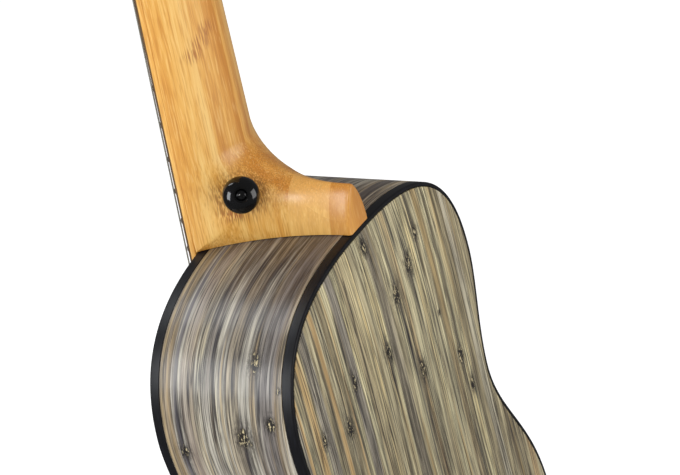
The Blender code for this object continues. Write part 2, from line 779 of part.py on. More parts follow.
def string_share(index):
    """A string's place across the set, from -0.5 on the bass side to 0.5 on the treble side."""
    return index / (len(STRING_NAMES) - 1) - 0.5


def string_depth_at_nut():
    """The lowest side of the strings at the nut, over the first fret's crown."""
    return -FRETBOARD_THICKNESS - GAP - FRET_CROWN_HEIGHT - ACTION_AT_NUT


def string_depth_at_saddle():
    """The lowest side of the strings at the saddle, set by the height over the twelfth fret."""
    twelfth = -FRETBOARD_THICKNESS - GAP - FRET_CROWN_HEIGHT - ACTION_AT_TWELFTH
    return 2 * twelfth - string_depth_at_nut()


def make_nut():
    """The bone nut, with a slot for each string."""
    half = NUT_WIDTH / 2
    top = string_depth_at_nut() - NUT_ABOVE_STRINGS
    profile = [(-half, -GAP), (-half, top)]
    for index, diameter in enumerate(STRING_DIAMETERS):
        x = STRING_SPREAD_AT_NUT * string_share(index)
        slot = diameter / 2 + GAP
        floor = string_depth_at_nut() + GAP
        profile += [(x - slot, top), (x - slot, floor), (x + slot, floor), (x + slot, top)]
    profile += [(half, top), (half, -GAP)]
    sections = [[(x, y, z) for x, y in profile] for z in (FRET_ZERO + GAP, NUT_TOP - GAP)]
    place("nut", mesh_of("nut", loft(sections)), "bone")


def tie_hole_place(index):
    """Where a string's hole runs through the tie block."""
    return STRING_SPREAD_AT_SADDLE * string_share(index), -GAP - TIE_HOLE_HEIGHT


def make_bridge():
    """The tie bridge: low wings, a saddle slot and a tie block with a hole for each string."""
    head_edge = SADDLE_LINE + SADDLE_INSET
    tail_edge = head_edge - BRIDGE_WIDTH
    tie_edge = tail_edge + TIE_BLOCK_WIDTH
    half = BRIDGE_LENGTH / 2
    tie = TIE_BLOCK_LENGTH / 2
    stations = (
        (half, 0.40, 0.40, 0.0015),
        (half - 0.003, 0.75, 0.75, 0.0),
        (tie + GAP, 1.0, 1.0, 0.0),
        (tie, 1.0, TIE_BLOCK_HEIGHT / BRIDGE_HEIGHT, 0.0),
    )
    stations = [(-x, low, high, inset) for x, low, high, inset in stations] + list(stations)[::-1]
    sections = []
    for x, low, high, inset in stations:
        base = -GAP - BRIDGE_HEIGHT * low
        block = -GAP - BRIDGE_HEIGHT * high
        outline = (
            (-GAP, head_edge - inset),
            (base, head_edge - inset),
            (base, tie_edge),
            (block, tie_edge - GAP),
            (block, tail_edge + inset),
            (-GAP, tail_edge + inset),
        )
        sections.append([(x, y, z) for y, z in outline])
    slot_half = SADDLE_THICKNESS / 2 + GAP
    slot_low = (-SADDLE_LENGTH / 2 - GAP, -BRIDGE_HEIGHT - 0.004, SADDLE_LINE - slot_half)
    slot_high = (SADDLE_LENGTH / 2 + GAP, saddle_foot() + GAP, SADDLE_LINE + slot_half)
    cuts = [box(slot_low, slot_high)]
    for index in range(len(STRING_NAMES)):
        x, y = tie_hole_place(index)
        hole = turned(((TIE_HOLE_RADIUS, tail_edge - 0.002), (TIE_HOLE_RADIUS, tie_edge + 0.002)), "Z", 8)
        cuts.append(moved(hole, (x, y, 0)))
    place("bridge", carved("bridge", loft(sections), cuts=cuts), "black_wood")


def saddle_foot():
    """The depth of the saddle's foot in its slot."""
    return -GAP - BRIDGE_HEIGHT + SADDLE_SLOT_DEPTH


def make_saddle():
    """The bone saddle in its slot, its top rounded for the strings."""
    top = string_depth_at_saddle() + GAP
    half = SADDLE_THICKNESS / 2
    foot = saddle_foot()
    profile = (
        (foot, -half),
        (top + half, -half),
        (top + 0.3 * half, -0.7 * half),
        (top, 0),
        (top + 0.3 * half, 0.7 * half),
        (top + half, half),
        (foot, half),
    )
    reach = SADDLE_LENGTH / 2
    sections = [[(x, y, SADDLE_LINE + dz) for y, dz in profile] for x in (-reach, reach)]
    place("saddle", mesh_of("saddle", loft(sections)), "bone")


def post_place(string):
    """A post's place in the headstock's frame, on its front face."""
    hand = -1 if string in ("g", "c") else 1
    return Vector((hand * POST_SPREAD / 2, 0, POST_RISES[string]))


def winding_points(string, diameter, start):
    """From the nut to the post: the tangent point, then a helix round the post away from the head."""
    hand = -1 if string in ("g", "c") else 1
    post = post_place(string)
    radius = POST_RADIUS + GAP + diameter / 2
    run = Vector((start.x - post.x, start.z - post.z))
    inner = math.acos(radius / run.length)
    first = math.atan2(run.y, run.x) - hand * inner
    pitch = diameter + WINDING_STEP_CLEARANCE
    points = []
    steps = round(WINDING_TURNS * WINDING_STEPS)
    for step in range(steps + 1):
        turn = step / WINDING_STEPS
        angle = first - hand * 2 * math.pi * turn
        height = BUSHING_FLANGE_THICKNESS + WINDING_START + pitch * turn
        points.append(
            Vector((post.x + radius * math.cos(angle), -height, post.z + radius * math.sin(angle)))
        )
    tail = (points[-1] - points[-2]).normalized() * diameter
    return points + [points[-1] + tail]


def least_gap(points, diameter):
    """The least gap between a tube's own stretches that lie more than half a turn apart."""
    apart = WINDING_STEPS // 2
    least = math.inf
    for i, point in enumerate(points):
        for other in points[i + apart :]:
            least = min(least, (other - point).length - diameter)
    return least


def make_strings():
    """Four strings, each from its tie hole over saddle and nut to the windings on its post."""
    head_inverse = HEAD_FRAME.inverted()
    for index, (string, diameter) in enumerate(zip(STRING_NAMES, STRING_DIAMETERS)):
        radius = diameter / 2
        tie_x, tie_y = tie_hole_place(index)
        nut_x = STRING_SPREAD_AT_NUT * string_share(index)
        tail_edge = SADDLE_LINE + SADDLE_INSET - BRIDGE_WIDTH
        nut_y = string_depth_at_nut() - radius
        points = [
            Vector((tie_x, tie_y, tail_edge - STRING_TAIL)),
            Vector((tie_x, tie_y, tail_edge + TIE_BLOCK_WIDTH)),
            Vector((tie_x, string_depth_at_saddle() - radius, SADDLE_LINE)),
            Vector((nut_x, nut_y, FRET_ZERO)),
            Vector((nut_x, nut_y, NUT_TOP)),
        ]
        wound = winding_points(string, diameter, head_inverse @ points[-1])
        points += [HEAD_FRAME @ point for point in wound]
        print(f"string_{string}: least gap to itself {1000 * least_gap(points, diameter):.2f} mm")
        curve = bpy.data.curves.new(f"string_{string}", "CURVE")
        curve.dimensions = "3D"
        curve.bevel_depth = radius
        curve.bevel_resolution = 1
        curve.use_fill_caps = True
        spline = curve.splines.new("POLY")
        spline.points.add(len(points) - 1)
        for spline_point, point in zip(spline.points, points):
            spline_point.co = (*point, 1)
        place(f"string_{string}", curve, "string_nylon")


def gear_outline(twist):
    """The gear wheel's outline, turned by a twist: straight flanks at the pressure angle."""
    thickness = WORM_LEAD / 2 - TOOTH_SLACK
    flare = math.tan(PRESSURE_ANGLE)
    points = []
    for tooth in range(GEAR_TEETH):
        centre = 2 * math.pi * (tooth + 0.5) / GEAR_TEETH + twist
        for radius, hand in ((0, -1), (1, -1), (1, 1), (0, 1)):
            reach = GEAR_TIP_RADIUS if radius else GEAR_ROOT_RADIUS
            half = thickness / 2 - (reach - GEAR_PITCH_RADIUS) * flare
            angle = centre + hand * half / reach
            points.append((reach * math.cos(angle), reach * math.sin(angle)))
    return points


def gear_bm():
    """The gear wheel on the post's inner end, its teeth slanted by the worm's lead angle."""
    lead_angle = math.atan2(WORM_LEAD, 2 * math.pi * WORM_PITCH_RADIUS)
    twist = GEAR_THICKNESS / 2 * math.tan(lead_angle) / GEAR_PITCH_RADIUS
    upright = math.pi / 2
    sections = []
    for hand in (-1, 1):
        depth = WORM_DEPTH + hand * GEAR_THICKNESS / 2
        outline = gear_outline(upright - hand * twist)
        sections.append([(x, depth, z) for x, z in outline])
    return loft(sections)


def post_mesh():
    """A string post: waisted at its cross hole, with the gear wheel on its inner end."""
    hole_depth = -POST_PROUD + 0.0028
    profile = (
        (POST_RADIUS * 0.75, -POST_PROUD),
        (POST_RADIUS, -POST_PROUD + 0.0007),
        (POST_RADIUS, hole_depth - 0.0012),
        (POST_WAIST_RADIUS, hole_depth),
        (POST_RADIUS, hole_depth + 0.0022),
        (POST_RADIUS, WORM_DEPTH + GEAR_THICKNESS / 2 + 0.0004),
        (POST_RADIUS * 0.75, WORM_DEPTH + GEAR_THICKNESS / 2 + 0.0008),
    )
    hole = turned(((POST_HOLE_RADIUS, -0.01), (POST_HOLE_RADIUS, 0.01)), "Z", 8)
    moved(hole, (0, hole_depth, 0))
    return carved("tuner_post", turned(profile, "Y"), joins=[gear_bm()], cuts=[hole])


def thread_section(step, steps):
    """One section of the worm's thread, from foot to foot over its tip. It fades in at both ends."""
    angle = 2 * math.pi * (step - steps / 2) / WORM_STEPS - math.pi / 2
    along = WORM_LEAD * (step - steps / 2) / WORM_STEPS
    if step in (0, steps):
        corners = [(0, KEY_SHAFT_RADIUS)]
    else:
        fade = smooth(min(step, steps - step) / 4)
        tip = KEY_SHAFT_RADIUS + (WORM_TIP_RADIUS - KEY_SHAFT_RADIUS) * fade
        flare = math.tan(PRESSURE_ANGLE)
        thickness = WORM_LEAD / 2 - TOOTH_SLACK
        foot_half = thickness / 2 + (WORM_PITCH_RADIUS - KEY_SHAFT_RADIUS) * flare
        tip_half = thickness / 2 + (WORM_PITCH_RADIUS - tip) * flare
        corners = [(-foot_half, KEY_SHAFT_RADIUS), (-tip_half, tip)]
        corners += [(tip_half, tip), (foot_half, KEY_SHAFT_RADIUS)]
    return [
        (along + offset, radius * math.cos(angle), radius * math.sin(angle))
        for offset, radius in corners
    ]


def add_ring(bm, x, radius_y, radius_z, first_angle):
    """One ring of points about the x axis."""
    ring = []
    for step in range(WORM_STEPS):
        angle = first_angle + 2 * math.pi * step / WORM_STEPS
        ring.append(bm.verts.new((x, radius_y * math.cos(angle), radius_z * math.sin(angle))))
    return ring


def add_worm(bm, left, right, steps):
    """The worm between two rings of the shaft: a thread, the root between its turns, and its ends."""
    thread = [[bm.verts.new(point) for point in thread_section(i, steps)] for i in range(steps + 1)]
    for here, after in zip(thread, thread[1:]):
        fill_between(bm, here, after)
    turn = WORM_STEPS
    for i in range(steps - turn):
        corners = (thread[i][-1], thread[i + 1][-1], thread[i + turn + 1][0], thread[i + turn][0])
        bm.faces.new(corners)
    for i in range(turn):
        before = [left[i], left[(i + 1) % turn], thread[i + 1][0], thread[i][0]]
        if i == turn - 1:
            before.insert(2, thread[0][0])
        bm.faces.new(before)
        j = steps - turn + i
        after = [thread[j][-1], thread[j + 1][-1], right[(j + 1) % turn], right[j % turn]]
        if i == 0:
            after.append(thread[steps][0])
        bm.faces.new(after)


def key_mesh():
    """A tuning key: shaft, worm, collar and a flat oval button, in one skin about the x axis."""
    steps = 2 * round(WORM_TURNS * WORM_STEPS / 2)
    first_angle = -math.pi / 2 - math.pi * steps / WORM_STEPS
    worm_half = LUG_OFFSET - GAP
    shaft_end = LUG_OFFSET + LUG_THICKNESS + 0.0012
    edge = HEAD_TOP_WIDTH / 2 - POST_SPREAD / 2
    collar = max(edge, LUG_OFFSET + LUG_THICKNESS) + KEY_REACH
    collar_end = collar + KEY_COLLAR_LENGTH
    length, thick, wide = KEY_BUTTON
    bm = bmesh.new()
    left = [
        add_ring(bm, -shaft_end, 0.7 * KEY_SHAFT_RADIUS, 0.7 * KEY_SHAFT_RADIUS, first_angle),
        add_ring(bm, -shaft_end + 0.0005, KEY_SHAFT_RADIUS, KEY_SHAFT_RADIUS, first_angle),
        add_ring(bm, -worm_half, KEY_SHAFT_RADIUS, KEY_SHAFT_RADIUS, first_angle),
    ]
    right = [
        add_ring(bm, worm_half, KEY_SHAFT_RADIUS, KEY_SHAFT_RADIUS, first_angle),
        add_ring(bm, collar, KEY_SHAFT_RADIUS, KEY_SHAFT_RADIUS, first_angle),
        add_ring(bm, collar, KEY_COLLAR_RADIUS, KEY_COLLAR_RADIUS, first_angle),
        add_ring(bm, collar_end, KEY_COLLAR_RADIUS, KEY_COLLAR_RADIUS, first_angle),
    ]
    for share in (0.04, 0.18, 0.4, 0.65, 0.86, 0.97, 1.0):
        size = max(1 - abs(2 * share - 1) ** 2.6, 0.08) ** (1 / 2.2)
        radii = (max(size * thick / 2, 0.0006), max(size * wide / 2, 0.0006))
        right.append(add_ring(bm, collar_end + length * share, *radii, first_angle))
    for rows in (left, right):
        for row, following in zip(rows, rows[1:]):
            for i in range(WORM_STEPS):
                bm.faces.new((row[i - 1], row[i], following[i], following[i - 1]))
    bm.faces.new(left[0])
    bm.faces.new(right[-1])
    add_worm(bm, left[-1], right[0], steps)
    return mesh_of("tuning_key", bm)


def plate_mesh():
    """A tuner's base plate: a post hole, two screw holes and two lugs that carry the key's shaft."""
    half = PLATE_WIDTH / 2
    low = -PLATE_BELOW_POST
    high = PLATE_LENGTH - PLATE_BELOW_POST
    front = HEAD_THICKNESS + GAP
    plate = box((-half, front, low), (half, PLATE_BACK, high))
    lug_top = WORM_DEPTH + KEY_SHAFT_RADIUS + 0.0014
    lugs = []
    shaft_holes = []
    for hand in (-1, 1):
        inner = hand * LUG_OFFSET
        outer = hand * (LUG_OFFSET + LUG_THICKNESS)
        lug = box(
            (min(inner, outer), front + 0.0004, CENTRE_DISTANCE - LUG_WIDTH / 2),
            (max(inner, outer), lug_top, CENTRE_DISTANCE + LUG_WIDTH / 2),
        )
        round_lug_top(lug, lug_top)
        lugs.append(lug)
        bore = KEY_SHAFT_RADIUS + RUNNING_GAP
        hole = turned(((bore, min(inner, outer) - 0.001), (bore, max(inner, outer) + 0.001)), "X", 10)
        shaft_holes.append(moved(hole, (0, WORM_DEPTH, CENTRE_DISTANCE)))
    bore = POST_RADIUS + RUNNING_GAP
    post_hole = turned(((bore, front - 0.001), (bore, PLATE_BACK + 0.001)), "Y")
    cuts = [post_hole] + shaft_holes
    for x, z in screw_places():
        ends = ((PLATE_HOLE_RADIUS, front - 0.001), (PLATE_HOLE_RADIUS, PLATE_BACK + 0.001))
        screw = turned(ends, "Y", 8)
        cuts.append(moved(screw, (x, 0, z)))
    return carved("tuner_plate", plate, joins=lugs, cuts=cuts)


def screw_places():
    """Where a tuner's two fixing screws go, about its post."""
    inset = PLATE_HOLE_RADIUS + 0.0011
    low = -PLATE_BELOW_POST + inset
    high = PLATE_LENGTH - PLATE_BELOW_POST - inset
    return (0, low), (0, high)


def round_lug_top(lug, top):
    """Rounds the two upper edges of a lug over."""
    edges = [
        edge
        for edge in lug.edges
        if all(abs(vert.co.y - top) < 1e-6 for vert in edge.verts)
        and abs(edge.verts[0].co.z - edge.verts[1].co.z) < 1e-6
    ]
    bmesh.ops.bevel(
        lug, geom=edges, offset=LUG_WIDTH * 0.3, segments=2, profile=0.5, affect="EDGES"
    )


def bushing_mesh():
    """The flanged bushing that the post turns in, pressed into the headstock from the front."""
    flange = -GAP - BUSHING_FLANGE_THICKNESS
    profile = (
        (BUSHING_BORE, flange),
        (BUSHING_FLANGE_RADIUS - 0.0004, flange),
        (BUSHING_FLANGE_RADIUS, flange + 0.0004),
        (BUSHING_FLANGE_RADIUS, -GAP),
        (BUSHING_RADIUS, -GAP),
        (BUSHING_RADIUS, BUSHING_LENGTH),
        (BUSHING_BORE, BUSHING_LENGTH),
    )
    return mesh_of("tuner_bushing", turned_ring(profile, "Y"))


def make_tuners():
    """Four tuners. A key turns about x, and a post about the headstock's thickness."""
    frame = bpy.data.objects.new("headstock_frame", None)
    frame.matrix_world = HEAD_FRAME
    bpy.context.scene.collection.objects.link(frame)
    treble = {"tuner_plate": plate_mesh(), "tuning_key": key_mesh(), "tuner_post": post_mesh()}
    bass = {name: mirrored(mesh) for name, mesh in treble.items()}
    bushing = bushing_mesh()
    finishes = {"tuner_plate": "nickel", "tuning_key": "steel", "tuner_post": "brass"}
    for string in STRING_NAMES:
        post = post_place(string)
        meshes = bass if post.x < 0 else treble
        for name, finish in finishes.items():
            offset = Vector((0, WORM_DEPTH, CENTRE_DISTANCE)) if name == "tuning_key" else Vector()
            place(f"{name}_{string}", meshes[name].copy(), finish, frame, post + offset)
        place(f"tuner_bushing_{string}", bushing.copy(), "nickel", frame, post)


def heel_button_frame():
    """The heel button's place on the treble flank, with +Z along its axis, out of the wood."""
    bm = loft(heel_sections() + neck_sections())
    tree = BVHTree.FromBMesh(bm)
    bm.free()

    def flank(dy, dz):
        start = Vector((JOINT_WIDTH, HEEL_BUTTON_DEPTH + dy, JOINT + HEEL_BUTTON_RISE + dz))
        return tree.ray_cast(start, Vector((-1, 0, 0)))[0]

    reach = BUTTON_FOOT_RADIUS
    along = flank(reach, 0) - flank(-reach, 0)
    up = flank(0, reach) - flank(0, -reach)
    normal = along.cross(up).normalized()
    centre = flank(0, 0)
    turn = normal.to_track_quat("Z", "Y").to_matrix().to_4x4()
    standing = 0.0
    for x, y, _ in circle(reach, 0, TURNED_SIDES, "Z") + [(0, 0, 0)]:
        start = centre + turn @ Vector((x, y, reach))
        standing = max(standing, (tree.ray_cast(start, -normal)[0] - centre).dot(normal))
    return Matrix.Translation(centre + normal * (standing + GAP)) @ turn


def end_button_frame():
    """The end button's place in the middle of the tail, with +Z along its axis, down."""
    depth = rim_depth(TAIL) / 2
    seat = Vector((0, depth, TAIL - GAP))
    return Matrix.Translation(seat) @ Matrix.Rotation(math.pi, 4, "X")


def screw_hole(frame):
    """The hole that a strap button's screw goes into."""
    radius = SCREW_SHANK_RADIUS + GAP
    hole = turned(((radius, -SCREW_LENGTH - GAP), (radius, 2 * GAP)), "Z", 12)
    bmesh.ops.transform(hole, matrix=frame, verts=hole.verts)
    return hole


def make_strap_button(name, frame):
    """A strap button: a foot, a waist for the strap, a domed head and a recess for the screw."""
    floor = BUTTON_HEIGHT - BUTTON_RECESS_DEPTH
    bore = SCREW_SHANK_RADIUS + GAP
    profile = [
        (bore, 0),
        (BUTTON_FOOT_RADIUS, 0),
        (BUTTON_FOOT_RADIUS * 0.95, 0.0012),
        (BUTTON_WAIST_RADIUS, 0.0030),
        (BUTTON_WAIST_RADIUS * 1.05, 0.0042),
    ]
    rise = BUTTON_HEIGHT - 0.0052
    for step in range(5):
        angle = math.pi / 2 * step / 4.6
        radius = BUTTON_RADIUS * math.cos(angle)
        profile.append((max(radius, BUTTON_RECESS_RADIUS), 0.0052 + rise * math.sin(angle)))
    profile += [(BUTTON_RECESS_RADIUS, BUTTON_HEIGHT), (BUTTON_RECESS_RADIUS, floor), (bore, floor)]
    obj = place(name, mesh_of(name, turned_ring(profile, "Z")), "black_plastic")
    obj.matrix_world = frame


def make_screw(name, frame):
    """The button's screw: a cross-recessed head in the button's recess and a pointed shank."""
    seat = BUTTON_HEIGHT - BUTTON_RECESS_DEPTH + GAP
    head = BUTTON_RECESS_RADIUS - GAP
    profile = (
        (SCREW_SHANK_RADIUS * 0.2, -SCREW_LENGTH),
        (SCREW_SHANK_RADIUS, -SCREW_LENGTH + 0.003),
        (SCREW_SHANK_RADIUS, seat),
        (head, seat),
        (head, seat + 0.0008),
        (head * 0.6, seat + 0.0015),
    )
    recess = 0.0009
    cuts = []
    for long_x, long_y in ((head * 0.55, 0.00035), (0.00035, head * 0.55)):
        cuts.append(box((-long_x, -long_y, seat + 0.0015 - recess), (long_x, long_y, seat + 0.003)))
    obj = place(name, carved(name, turned(profile, "Z", 12), cuts=cuts), "black_plastic")
    obj.matrix_world = frame


def clear_scene():
    """Removes what the scene holds."""
    for obj in list(bpy.data.objects):
        bpy.data.objects.remove(obj)


def make_body():
    """Plates, ribs, bindings, linings, blocks and braces."""
    make_soundboard()
    make_back_plate()
    make_binding("top_binding", False)
    make_binding("back_binding", True)
    for name, hand in (("bass", -1), ("treble", 1)):
        make_side(f"side_{name}", hand)
        make_lining(f"lining_top_{name}", hand, False)
        make_lining(f"lining_back_{name}", hand, True)
    make_blocks()
    for name, drop in zip(("upper", "lower"), SOUNDBOARD_BRACE_DROPS):
        make_brace(f"soundboard_brace_{name}", drop, False)
    for name, drop in zip(("upper", "lower"), BACK_BRACE_DROPS):
        make_brace(f"back_brace_{name}", drop, True)
    make_bridge_plate()


clear_scene()
make_body()
make_neck()
make_fretboard()
make_frets()
make_nut()
make_bridge()
make_saddle()
make_strings()
make_tuners()
make_strap_button("strap_button", heel_button_frame())
make_screw("strap_button_screw", heel_button_frame())
make_strap_button("end_button", end_button_frame())
make_screw("end_button_screw", end_button_frame())
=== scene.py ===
"""A soprano ukulele of bamboo, seen from behind at its heel: an amber neck on a weathered grey body."""

import math

import bmesh
import bpy
from mathutils import Matrix, Vector
from mathutils.geometry import interpolate_bezier


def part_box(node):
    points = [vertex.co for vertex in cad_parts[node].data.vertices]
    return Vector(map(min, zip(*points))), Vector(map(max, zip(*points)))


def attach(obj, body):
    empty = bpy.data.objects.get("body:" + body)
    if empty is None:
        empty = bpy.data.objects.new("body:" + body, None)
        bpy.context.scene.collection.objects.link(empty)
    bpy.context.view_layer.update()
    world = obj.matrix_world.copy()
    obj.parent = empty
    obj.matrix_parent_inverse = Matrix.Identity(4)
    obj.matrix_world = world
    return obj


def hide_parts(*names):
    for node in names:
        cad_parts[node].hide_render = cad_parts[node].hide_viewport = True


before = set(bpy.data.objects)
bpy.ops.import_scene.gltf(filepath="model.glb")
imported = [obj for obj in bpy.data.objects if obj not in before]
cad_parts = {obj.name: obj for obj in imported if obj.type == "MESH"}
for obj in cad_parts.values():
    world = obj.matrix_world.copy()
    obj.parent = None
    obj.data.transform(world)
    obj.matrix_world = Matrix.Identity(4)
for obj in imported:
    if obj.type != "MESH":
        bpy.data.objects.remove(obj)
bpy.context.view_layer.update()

# Ribs. Two bamboo boards, bent hot over a form into the body's waisted outline. They meet on the
# centre line at the neck and at the tail, and both of their edges are rebated for the bindings. The
# bamboo is steamed to a weathered grey and varnished to a soft sheen, and its fibres follow the bend.

joint_height = -0.186
body_length = 0.240
lower_bout_width = 0.177
rim_depths = (0.0505, 0.058, 0.063)
gap = 0.0003
soundboard_thickness = 0.002
back_thickness = 0.0022
rib_thickness = 0.0024
binding_thickness = 0.0014
binding_height = 0.0034
rib_steps = 48
strip_width = 0.0047


def rib_line(steps):
    """The treble half of the outline, neck to tail: points, outward normals and distances along it."""
    top, bout, waist = Vector((0, 0)), Vector((0.068, 0.0455)), Vector((0.0615, 0.0895))
    wide, tail = Vector((lower_bout_width / 2, 0.168)), Vector((0, body_length))
    shoulder, to_waist = Vector((0, bout.y)), Vector((0, waist.y - bout.y))
    from_waist, to_tail = Vector((0, wide.y - waist.y)), Vector((0, tail.y - wide.y))
    curves = (
        (top, top + Vector((0.48 * bout.x, 0)), bout - 0.90 * shoulder, bout),
        (bout, bout + 0.30 * to_waist, waist - 0.39 * to_waist, waist),
        (waist, waist + 0.30 * from_waist, wide - 0.48 * from_waist, wide),
        (wide, wide + 0.55 * to_tail, tail + Vector((0.55 * wide.x, 0)), tail),
    )
    line = [top]
    for curve in curves:
        line += interpolate_bezier(*curve, steps + 1)[1:]
    mirrored = [Vector((-line[1].x, line[1].y))] + line + [Vector((-line[-2].x, line[-2].y))]
    normals, lengths = [], [0.0]
    for before, after in zip(mirrored, mirrored[2:]):
        run = (after - before).normalized()
        normals.append(Vector((run.y, -run.x)))
    for here, after in zip(line, line[1:]):
        lengths.append(lengths[-1] + (after - here).length)
    return line, normals, lengths


def rim_depth(drop):
    """How far behind the soundboard's face the back's rim lies, at a drop below the joint."""
    share = drop / body_length
    neck_end, middle, tail_end = rim_depths
    arched = neck_end * (1 - share) * (1 - 2 * share) + middle * 4 * share * (1 - share)
    return arched + tail_end * share * (2 * share - 1)


def skin(rows, columns, place, grain=lambda i, j: (j * 0.001, i * 0.001)):
    """A grid over a surface: place gives each point, grain its place along and across the fibres."""
    bm = bmesh.new()
    bmesh.ops.create_grid(bm, x_segments=columns, y_segments=rows, size=1.0)
    layer = bm.loops.layers.uv.new("grain")
    for vert in bm.verts:
        spot = round((vert.co.y + 1) / 2 * rows), round((vert.co.x + 1) / 2 * columns)
        vert.co = place(*spot)
        for loop in vert.link_loops:
            loop[layer].uv = grain(*spot)
    return bm


def closed(bm):
    """Joins what meets, caps open ends and turns every face outwards."""
    bmesh.ops.remove_doubles(bm, verts=bm.verts, dist=1e-6)
    bmesh.ops.holes_fill(bm, edges=[edge for edge in bm.edges if edge.is_boundary])
    bmesh.ops.recalc_face_normals(bm, faces=bm.faces)
    return bm


def put(name, data):
    """A new object in the scene with this data, which may be a mesh under construction."""
    if isinstance(data, bmesh.types.BMesh):
        bm, data = data, bpy.data.meshes.new(name)
        bm.to_mesh(data)
        bm.free()
    made = bpy.data.objects.new(name, data)
    bpy.context.scene.collection.objects.link(made)
    return made


def piece(name, data, finish, body="ukulele", replaces=(), sharp=32):
    """Makes a mesh under construction, or a curve, a piece of the instrument that rides on a body."""
    made = put(name, data)
    if made.type == "MESH":
        made.data.shade_smooth()
        made.data.set_sharp_from_angle(angle=math.radians(sharp))
    made.data.materials.append(finish)
    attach(made, body)
    if replaces:
        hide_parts(*replaces)
    return made


def paint(red, green, blue):
    """A colour from its picture values of 0 to 255."""
    levels = []
    for value in (red, green, blue):
        value /= 255
        levels.append(value / 12.92 if value < 0.04045 else ((value + 0.055) / 1.055) ** 2.4)
    return (*levels, 1.0)


class Wire:
    """A socket of a finish's nodes. Python's operators on it add Math nodes."""

    def __init__(self, finish, socket):
        self.finish = finish
        self.socket = socket

    def math(self, operation, *values):
        return self.finish.node("ShaderNodeMath", {"operation": operation}, dict(enumerate(values)))

    def __add__(self, other):
        return self.math("ADD", self, other)

    def __sub__(self, other):
        return self.math("SUBTRACT", self, other)

    def __rsub__(self, other):
        return self.math("SUBTRACT", other, self)

    def __mul__(self, other):
        return self.math("MULTIPLY", self, other)

    def __truediv__(self, other):
        return self.math("DIVIDE", self, other)

    __radd__ = __add__
    __rmul__ = __mul__

    def least(self, other):
        return self.math("MINIMUM", self, other)

    def most(self, other):
        return self.math("MAXIMUM", self, other)

    def unsigned(self):
        return self.math("ABSOLUTE", self)

    def eased(self, low, high, start=0.0, end=1.0):
        """Eases from start to end as this wire goes from low to high."""
        values = {"Value": self, "From Min": low, "From Max": high, "To Min": start, "To Max": end}
        return self.finish.node("ShaderNodeMapRange", {"interpolation_type": "SMOOTHSTEP"}, values)


class Finish:
    """A surface finish: one Principled material, the nodes that feed it and its colour so far."""

    def __init__(self, name, **fixed):
        self.material = bpy.data.materials.new(name)
        self.material.use_nodes = True
        self.tree = self.material.node_tree
        self.surface = self.tree.nodes["Principled BSDF"]
        self.colour = self.spot = None
        for socket, value in fixed.items():
            label = socket.replace("_", " ").title().replace("Ior", "IOR")
            self.surface.inputs[label].default_value = value

    def node(self, kind, settings=(), values=(), output=0):
        """Adds a node, sets it up, gives its sockets values or wires and returns one of its outputs."""
        node = self.tree.nodes.new(kind)
        for setting, value in dict(settings).items():
            if setting == "stops":
                stops = node.color_ramp.elements
                while len(stops) < len(value):
                    stops.new(1.0)
                for stop, (position, colour) in zip(stops, value):
                    stop.position = position
                    stop.color = colour
            else:
                setattr(node, setting, value)
        for socket, value in dict(values).items():
            if isinstance(value, Wire):
                self.tree.links.new(value.socket, node.inputs[socket])
            else:
                node.inputs[socket].default_value = value
        return Wire(self, node.outputs[output])

    def split(self, wire):
        """The three parts of a vector or colour wire."""
        return [self.node("ShaderNodeSeparateXYZ", (), {0: wire}, part) for part in range(3)]

    def place(self):
        """Where a point lies on the object, in metres along each axis."""
        self.spot = self.spot or self.split(self.node("ShaderNodeTexCoord", output=3))
        return self.spot

    def joined(self, x, y, z=0.0):
        return self.node("ShaderNodeCombineXYZ", (), {0: x, 1: y, 2: z})

    def distance(self, here, there):
        return self.node("ShaderNodeVectorMath", {"operation": "DISTANCE"}, {0: here, 1: there}, 1)

    def noise(self, x, y, z, detail=2.0, roughness=0.5, distortion=0.0):
        values = {"Vector": self.joined(x, y, z), "Scale": 1.0, "Detail": detail}
        values |= {"Roughness": roughness, "Distortion": distortion}
        return self.node("ShaderNodeTexNoise", (), values)

    def grain(self, wide, deep, long, *look, seed=0.0):
        """Noise with a fineness of its own along each axis of the object."""
        x, y, z = self.place()
        return self.noise(x * wide, y * deep, z * long + seed if seed else z * long, *look)

    def ramp(self, wire, places, tones):
        stops = [(place, paint(*tone)) for place, tone in zip(places, tones)]
        return self.node("ShaderNodeValToRGB", {"stops": stops}, {0: wire})

    def mix(self, share, first, second, blend="MIX"):
        settings = {"data_type": "RGBA", "blend_type": blend}
        return self.node("ShaderNodeMix", settings, {0: share, 6: first, 7: second}, 2)

    def grey(self, wire):
        return self.node("ShaderNodeCombineColor", (), {0: wire, 1: wire, 2: wire})

    def glaze(self, share, red, green, blue):
        """Lays a colour over the one so far, as thick as its share."""
        self.colour = self.mix(share, self.colour, paint(red, green, blue))

    def feed(self, **wires):
        for socket, wire in wires.items():
            self.tree.links.new(wire.socket, self.surface.inputs[socket.replace("_", " ").title()])

    def done(self, roughness, **others):
        self.feed(base_color=self.colour, roughness=roughness, **others)
        return self.material

    def relief(self, height, depth, strength=1.0):
        values = {"Height": height, "Distance": depth, "Strength": strength}
        self.feed(normal=self.node("ShaderNodeBump", (), values))


